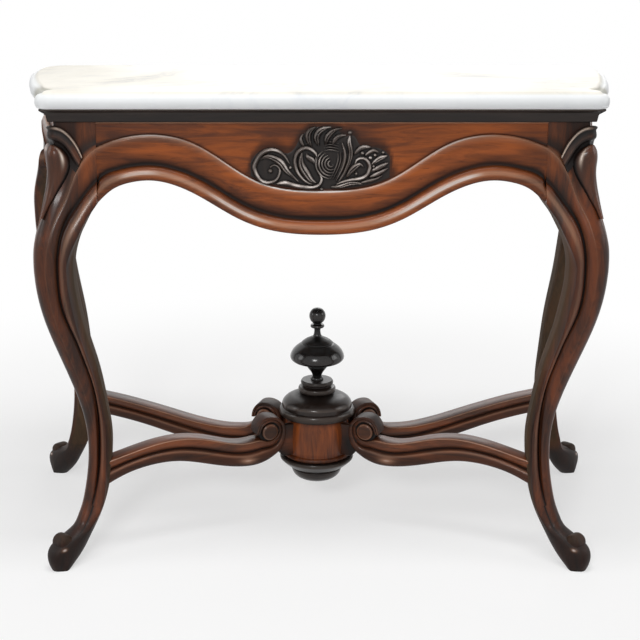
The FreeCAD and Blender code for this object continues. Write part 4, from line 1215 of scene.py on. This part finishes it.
def cove_section():
    """(out from the post faces, height, dust_and_shade, wear_and_highlight) once round the section."""
    section = [(-COVE_WIDTH, RAIL_TOP, 0.6, 0), (-0.6, RAIL_TOP, 0.8, 0),
               (0.4, RAIL_TOP + 0.5, 0.5, 0)]
    # The hollow is painted darker towards its foot.
    for step in range(15):
        angle = math.pi / 2 * step / 14
        out = 0.8 + (OVERHANG - 2.4) * (1 - math.cos(angle))
        height = RAIL_TOP + 1.2 + (SLAB_LOW - RAIL_TOP - 4.4) * math.sin(angle)
        section.append((out, height, 0.45 - 0.3 * step / 14, 0.0))
    # A painted highlight along the lip under the slab.
    section += [(OVERHANG - 1.0, SLAB_LOW - 2.8, 0, 0.35), (OVERHANG - 0.8, SLAB_LOW - 0.8, 0.2, 0.2),
                (OVERHANG - 1.4, SLAB_LOW, 0.5, 0), (-COVE_WIDTH, SLAB_LOW, 0.5, 0)]
    return section


def mitred_strip(name, corners):
    """A moulding through corners of (x, y, outward x, outward y), mitred at each."""
    rings = [[(x + out_x * out, y + out_y * out, z, dust_and_shade, wear_and_highlight, 0)
              for out, z, dust_and_shade, wear_and_highlight in cove_section()] for x, y, out_x, out_y in corners]
    return wrap(name, closed_ends(rings))


front_strip = mitred_strip("cove_front", [(-FRONT_HALF, -POST_FACE, -1, -1),
                                          (FRONT_HALF, -POST_FACE, 1, -1)])
fitted(front_strip, "front_cornice", dark_walnut)
slant = math.atan2(BACK_HALF - FRONT_HALF, 2 * SIDE_REACH)
half_mitre = math.tan(slant / 2)
for side_name, side in SIDES.items():
    strip = mitred_strip("cove_" + side_name, [
        (side * FRONT_HALF, -POST_FACE, side, -1),
        (side * FRONT_HALF, -SIDE_REACH, side, -half_mitre),
        (side * BACK_HALF, SIDE_REACH, side, -half_mitre),
        (side * BACK_HALF, POST_FACE, side, 0)])
    fitted(strip, side_name + "_cornice", dark_walnut)
print(f"cornice overhangs by {OVERHANG:.1f}")

# %% [markdown]
# ## Hub and finial
# Hub, cap, collar, mushroom and ball are turned on a lathe, which Blender calls Spin: half of
# the outline is drawn once and swept round the axis. Straight runs stay crisp, and runs of three
# or more marks are bent smooth.

# %% Turned pieces
SPIN_STEPS = 96
SEAM_SHADE = 15.0
NEAR = 7.0


def turned(name, level, wear_and_highlight, runs):
    """Spin an outline of (radius, height over the level) runs about the Z axis."""
    outline = []
    for run in runs:
        points = np.array(run, float) + (0, level)
        points = batten(points, 5 * len(run)) if len(run) > 2 else points
        outline += [tuple(point) for point in points]
    outline = [outline[0]] + [b for a, b in zip(outline, outline[1:]) if math.dist(a, b) > 0.05]
    outline = [(0.0, outline[0][1])] + outline + [(0.0, outline[-1][1])]
    deselect()
    bpy.ops.mesh.primitive_circle_add(vertices=len(outline), radius=0.1)
    piece = bpy.context.object
    piece.name = name
    for vertex, (radius, height) in zip(piece.data.vertices, outline):
        vertex.co = (radius * MM, 0, height * MM)
    bpy.ops.object.mode_set(mode="EDIT")
    bpy.ops.mesh.select_all(action="SELECT")
    bpy.ops.mesh.spin(steps=SPIN_STEPS, angle=2 * math.pi, center=(0, 0, 0), axis=(0, 0, 1))
    bpy.ops.object.mode_set(mode="OBJECT")
    finish_mesh(piece)
    marks = np.array(outline)
    values = np.zeros((len(piece.data.vertices), 3))
    for vertex, value in zip(piece.data.vertices, values):
        radius, height = math.hypot(vertex.co.x, vertex.co.y) / MM, vertex.co.z / MM
        near = np.abs(marks[:, 1] - height) < NEAR
        around = marks[near, 0].max()
        # Painted shade in the recesses of the outline, and darker near both ends: a dark seam, and painted
        # shade as under the cap; a painted highlight on the outermost rounds.
        hollow = (around - radius) / max(around, 1)
        from_end = min(height - marks[:, 1].min(), marks[:, 1].max() - height)
        seam_and_shade = 0.8 * smooth_step(1 - from_end / SEAM_SHADE)
        value[0] = min(1.0, max(0.0, hollow * 3.0 - 0.1, seam_and_shade))
        value[1] = min(1.0, max(0.0, 1 - hollow * 22)) * wear_and_highlight
    paint(piece, values)
    return piece


# %% Outlines for the lathe
HUB_LOW, DRUM_LOW, CAP_LOW = (edge_of(node, 0, 2) for node in ("hub_base", "hub_drum", "hub_cap"))
CAP_RISE = edge_of("hub_cap", 1, 2) - CAP_LOW
BALL_TOP = edge_of("finial_ball", 1, 2)
BALL = 14.0
# Name, finish, slot, level, wear_and_highlight (painted highlight and wear on the outer rounds),
# and the runs of (radius, height over the level).
TURNINGS = [
    ("hub_base", dark_walnut, "dark_walnut", HUB_LOW, 0.8, [
        [(12, -4), (15, -3.4), (16.5, -2)], [(18, -1.5)], [(20, -2), (31, 1.5), (40, 9), (44, 19)],
        [(42.5, 21)], [(46.5, 22.5), (53, 27), (59.5, 33), (63.5, 39), (62.5, 41.6)],
        [(57, 42.6), (41, DRUM_LOW - HUB_LOW)]]),
    ("hub_drum", walnut_drum, "walnut", DRUM_LOW, 0.04, [
        [(54, -0.5), (57.5, 1), (58.6, 4), (57, 7)], [(54, 8)],
        [(53.6, 9), (54.6, 150 - DRUM_LOW), (53.8, 178 - DRUM_LOW), (52, CAP_LOW - 6 - DRUM_LOW)],
        [(50.5, CAP_LOW - 4 - DRUM_LOW), (50.5, CAP_LOW - DRUM_LOW)]]),
    ("hub_cap", dark_walnut, "dark_walnut", CAP_LOW, 0.45, [
        [(58, -4), (61.5, -3.4), (64.4, -0.5), (65, 4), (63.4, 8.6), (61.5, 10.4)], [(60, 10.8)],
        [(60, 12), (59.4, 18.5), (55, 24.6), (46.5, 29.6), (37, 32.5), (29.5, CAP_RISE - 1)],
        [(28, CAP_RISE)]]),
    ("hub_collar", dark_walnut, "dark_walnut", 0, 0.5, [
        [(27, 230), (31, 231.5), (32, 235.5), (31, 239.5), (27.5, 241)], [(24.5, 242.4)],
        [(24.5, 243.4), (27.2, 245.4), (27.4, 249.6), (26, 252)]]),
    ("finial_mushroom", ebonised, "ebonised_wood", 0, 0.4, [
        [(8, 247), (10.4, 250), (10.8, 254), (9, 257)], [(7.8, 258)],
        [(8, 260.5), (10, 265), (14.5, 271), (17.5, 276), (18.5, 279.5)], [(19, 281)],
        [(20, 281.2), (34, 283.5), (43, 287.5), (46, 292.4), (45.2, 298), (41.5, 305), (35, 311.5),
         (28.5, 316)], [(26.5, 316.6)], [(26.6, 318.4), (22, 322.2), (14, 326.4), (8.6, 329)]]),
    ("finial_ball", ebonised, "ebonised_wood", 0, 0.4, [
        [(8, 329), (6.6, 331.4), (5.6, 335.6), (5.4, 341), (6.2, 343.6)],
        [(8.6, 344.2), (11.2, 345.2), (11.8, 347.4), (11, 349.4), (8.4, 350.4)], [(6.4, 350.8)],
        [(6.2, 351.8), (8.6, 353.4), (12.4, 358.4), (BALL, BALL_TOP - BALL), (12.1, 372),
         (7, 377.2), (0.3, BALL_TOP)]]),
]
for name, material, slot, *form in TURNINGS:
    fitted(turned(name + "_mesh", *form), name, material)
print("turned pieces:", len(TURNINGS))

# %% [markdown]
# ## Stretcher arms
# Four planks join the legs to the hub. Each is sawn to an S, moulded on both faces with a bead
# below and a band above, and its head curls round a flat boss. Rungs do the work again: they
# stand across the plank, walk along it, and then turn round the boss in a shrinking curl.

# %% Arm sections
VOLUTE = (86.0, 39.0)
DOWELLED = (82.0, 45.0)
VOLUTE_HEIGHT = 175.0
LEG_AXIS_IN = 53.0
ARM_THICK = 32.0
EYE_RADIUS = 14.0
HEAD_SHADE, HEAD_FROM, HEAD_RUN = 0.55, 0.62, 0.14
FULL_DEPTH_WIDTH = 34.0
ROOT_TOP, ROOT_LOW = 183.0, 127.0
SHINE, SHINE_PLACE, SHINE_REACH = 1.25, 38.0, 15.0
HEAD_RUNGS = [(-23, 144, -8.6, 161), (-28.6, 160, -15, 168), (-29.6, 176, -17.3, 176.6),
              (-26, 188, -14.6, 184.7), (-15, 197.7, -8, 190.7), (0, 201, 0.5, 192.3),
              (12, 197.7, 8.6, 189), (19.4, 190, 14, 184.2), (23.2, 181, 16.7, 178.2),
              (24.2, 173, 18.8, 173)]
FRONT_RUNGS = [(292, 119, 292, 162), (250, 137, 251, 171.5), (200, 146, 207, 181),
               (160, 144.5, 165, 185), (110, 132, 112, 177.5), (70, 121.5, 73, 165.5),
               (40, 117.5, 46, 161), (20, 118.5, 29, 162), (2, 124, 16, 162), (-12, 132.5, 3, 158)]
BACK_RUNGS = [(355, 149, 355, 184), (295, 143.5, 299, 179.5), (239, 135.5, 245, 172),
              (200, 127.5, 196, 163.5), (166, 120, 162, 157), (120, 111, 125, 151),
              (80, 105, 82, 147.6), (50, 106, 52, 149.5), (28, 110.5, 34, 154),
              (8, 121, 21, 162), (-9, 134, 5, 158)]


def arm_face():
    """(share from the lower edge to the upper, depth, dust_and_shade, wear_and_highlight, shine) on a
    face.
    """
    columns = []
    for t, depth in round_bead(8, BEAD_PROUD):
        # The bead is painted dark as shade, with a thin painted highlight near its top and room for a
        # broad painted highlight (shine) across its middle.
        glimmer = math.exp(-((t - 0.84) / 0.09) ** 2)
        shine = math.exp(-((t - 0.5) / 0.22) ** 2)
        columns.append((0.52 * t, depth, 0.72 - 0.5 * glimmer, 0.55 * glimmer, shine))
    columns.append((0.55, 7.2, 1.0, 0.0, 0.0))
    for step in range(7):
        t = step / 6
        depth = 5.6 * (1 - math.sin(math.pi / 2 * t))
        columns.append((0.58 + 0.37 * t, depth, max(0.0, 0.9 - 2.2 * t), max(0.0, 0.1 * (t - 0.5)), 0.0))
    # A painted glint along the ridge at the top.
    columns += [(0.97, 0.5, 0, 1.15, 0.0), (0.985, 1.2, 0, 0.7, 0.0), (1.0, 2.6, 0.25, 0, 0.0)]
    return columns


def arm_rings(rungs):
    """Sections of a plank and its head: both faces, with a crown above and the edge below."""
    rings = []
    lines = batten(rungs + HEAD_RUNGS, 150)
    for number, (low_x, low_z, top_x, top_z) in enumerate(lines):
        shade = HEAD_SHADE * smooth_step((number / len(lines) - HEAD_FROM) / HEAD_RUN)
        low, top = np.array((low_x, low_z)), np.array((top_x, top_z))
        width = float(np.linalg.norm(top - low))
        scale = min(1.0, width / FULL_DEPTH_WIDTH)
        # A broad painted highlight on the bead near the volute.
        near = math.exp(-((low_x - SHINE_PLACE) / SHINE_REACH) ** 2)
        face = [(low + (top - low) * share, ARM_THICK / 2 - depth * scale,
                 max(dust_and_shade, shade) * (1 - near * shine), wear_and_highlight * (1 - shade) + SHINE * near * shine)
                for share, depth, dust_and_shade, wear_and_highlight, shine in arm_face()]
        ring = [(p[0], -deep, p[1], g, r, 0) for p, deep, g, r in face]
        crown = top + (top - low) / max(width, 1) * 0.8
        # The crown is painted darker.
        ring.append((crown[0], 0.0, crown[1], max(0.35, shade), 0, 0))
        ring += [(p[0], deep, p[1], g, r, 0) for p, deep, g, r in reversed(face)]
        # The underside is painted dark as shade.
        ring.append((low[0], 0.0, low[1], 0.8, 0, 0))
        rings.append(ring)
    return closed_ends(rings)


def arm_frame(side, end, centre):
    """Start and unit direction of an arm in plan."""
    start = np.array((side * centre[0], end * centre[1]))
    goal = np.array((side * (half_width(end) - LEG_AXIS_IN), end * (POST_FACE - LEG_AXIS_IN)))
    way = (goal - start) / np.linalg.norm(goal - start)
    return start, way


def along_arm(points, side, end, centre):
    """Points of (along, across, height, paint) set on one arm."""
    start, way = arm_frame(side, end, centre)
    placed = np.array(points, float)
    along, across = placed[..., 0].copy(), placed[..., 1].copy()
    placed[..., 0] = start[0] + way[0] * along - way[1] * across
    placed[..., 1] = start[1] + way[1] * along + way[0] * across
    return placed


# %% Boss and root
# One half of the eye of a volute: (out from the middle of the plank, radius, dust_and_shade,
# wear_and_highlight), with a painted highlight on the rim of the disc and painted shade on the web.
BOSS = [(19.0, 0.0, 0.6, 0.1), (19.0, 7.0, 0.6, 0.1), (18.8, 11.0, 0.6, 0.1), (18.0, 12.2, 0.3, 0.5),
        (16.8, EYE_RADIUS, 0.4, 0.3), (11.5, EYE_RADIUS, 1, 0), (11.0, 13.4, 1, 0), (11.0, 19.0, 1, 0)]


def boss_rings():
    """The eye of the volute: a disc on each face over a sunk web."""
    angles = [2 * math.pi * step / 40 for step in range(40)]
    return [[(radius * math.cos(angle), across, VOLUTE_HEIGHT + radius * math.sin(angle), dust_and_shade, wear_and_highlight, 0)
             for angle in angles]
            for across, radius, dust_and_shade, wear_and_highlight in [(-row[0], *row[1:]) for row in BOSS] + BOSS[::-1]]


def root_rings():
    """The block behind a volute that is shouldered against the drum."""
    rings = []
    for across, inset in [(-6.0, 3.0), (-5.2, 0.8), (-3.5, 0.0), (3.5, 0.0), (5.2, 0.8), (6.0, 3.0)]:
        top, low = ROOT_TOP - inset, ROOT_LOW + inset
        outline = [(-60, top), (-14, top), (-14, 145), (-18, 133), (-24, low), (-60, low)]
        # Painted near-black to stand as the shade between volute and drum, lighter where it goes into the
        # drum.
        rings.append([(x, across, z, 0.5 if x < -50 else 1, 0, 0) for x, z in outline])
    return closed_ends(rings)


# %% Set the four arms
for corner, side, end in CORNERS:
    name = corner + "_stretcher"
    parts = [wrap(name + part, along_arm(rings, side, end, centre)) for part, rings, centre in [
        ("_plank", arm_rings(FRONT_RUNGS if end < 0 else BACK_RUNGS), VOLUTE),
        ("_boss", boss_rings(), VOLUTE), ("_root", root_rings(), DOWELLED)]]
    arm = joined(name + "_mesh", parts)
    way = arm_frame(side, end, VOLUTE)[1] * (-1 if side == end else 1)
    turn = (0, 0, math.atan2(way[1], way[0]))
    wood = walnut("walnut_arm_" + corner, (138, 72, 34), (48, 28, 17), DUST_AND_SHADE_COLOUR, CREST, turn)
    fitted(arm, name, wood)
print("stretcher arms: 4")

# %% [markdown]
# ## Marble slab
# The slab is sawn to a plan with small lobed corners in front and sides that swell towards the
# back. Its edges are rubbed round. The plan is one ring; rings set in and up from it make the
# rounds, and the last ones close on the middle of the top and of the underside.

# %% Slab
SLAB_LOBE = [(406, -225), (420, -219), (426, -204), (424, -187), (415, -171)]
SLAB_SIDE = [(415, -171), (430, -152), (439, -125), (455, -65), (469, 0), (482, 75), (487, 135),
             (483, 182), (464, 214), (436, 225)]
SLAB_EDGE = [(14, 740), (6, 740), (2.6, 741.2), (0.8, 744), (0, 748), (0, 751), (0.6, 754.6),
             (2, 757.6), (4, 759.6), (5.4, 760.2), (7, 760.0), (9, 760.5), (11.5, 762.2),
             (13.6, 764.2), (15, 764.8), (17, 765)]
SLAB_HALF_DEPTH = 225.0
NOTCH, NOTCH_REACH = -140, 36


def slab_plan():
    """The outline of the slab, anticlockwise from the middle of the front."""
    front = [(x, -SLAB_HALF_DEPTH) for x in np.linspace(0, 404, 24)]
    back = [(x, SLAB_HALF_DEPTH) for x in np.linspace(430, 0, 24)]
    right = [*front, *batten(SLAB_LOBE, 26)[:-1], *batten(SLAB_SIDE, 90), *back]
    left = [(-x, y) for x, y in reversed(right[1:-1])]
    return np.array(right + left, float)


def inward_normals(plan):
    """Unit normals that point into the outline, softened so that an inset stays clean."""
    ahead = np.roll(plan, -1, axis=0) - np.roll(plan, 1, axis=0)
    normal = np.stack([-ahead[:, 1], ahead[:, 0]], axis=1)
    normal /= np.linalg.norm(normal, axis=1, keepdims=True)
    for _ in range(3):
        normal = np.roll(normal, 1, axis=0) + 2 * normal + np.roll(normal, -1, axis=0)
        normal /= np.linalg.norm(normal, axis=1, keepdims=True)
    return normal


def notch_shade(x, y, inset):
    """Painted shade on the edge in the notches behind the lobes."""
    return 0.8 * math.exp(-((y - NOTCH) / NOTCH_REACH) ** 2) if abs(x) > 400 and inset < 12 else 0


def slab_rings():
    """The plan set in and up round the edge, closed on the middle of each face."""
    plan = slab_plan()
    normal = inward_normals(plan)
    return closed_ends([[(x, y, height, notch_shade(x, y, inset), 0, 0)
                         for x, y in plan + normal * inset] for inset, height in SLAB_EDGE])


slab = wrap("slab_mesh", slab_rings())
fitted(slab, "marble_top", marble, "slab")
print("slab:", len(slab.data.polygons), "faces")

# %% [markdown]
# ## What holds it together
# Back rail, top strip, glue blocks, bearers, dowels and screws are right as the frame has them,
# so they only get their bare woods and steel, with the grain along each piece.

# %% Carcase woods
CARCASE = [
    (deal_x, "secondary_wood", ["back_rail", "back_top_strip"]),
    (deal_y, "secondary_wood", ["left_bearer", "right_bearer"]),
    (beech, "beech", ["rail_dowels", "leg_stretcher_dowels", "hub_stretcher_dowels", "hub_pin"]),
    (steel, "screw_steel", ["glue_block_screws", "bearer_screws"]),
    (deal_z, "secondary_wood", [corner + "_glue_block" for corner, side, end in CORNERS]),
]
for material, slot, names in CARCASE:
    for name in names:
        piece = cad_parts[name]
        piece.data.materials.clear()
        piece.data.materials.append(material)
print("carcase pieces:", sum(len(names) for _, _, names in CARCASE))
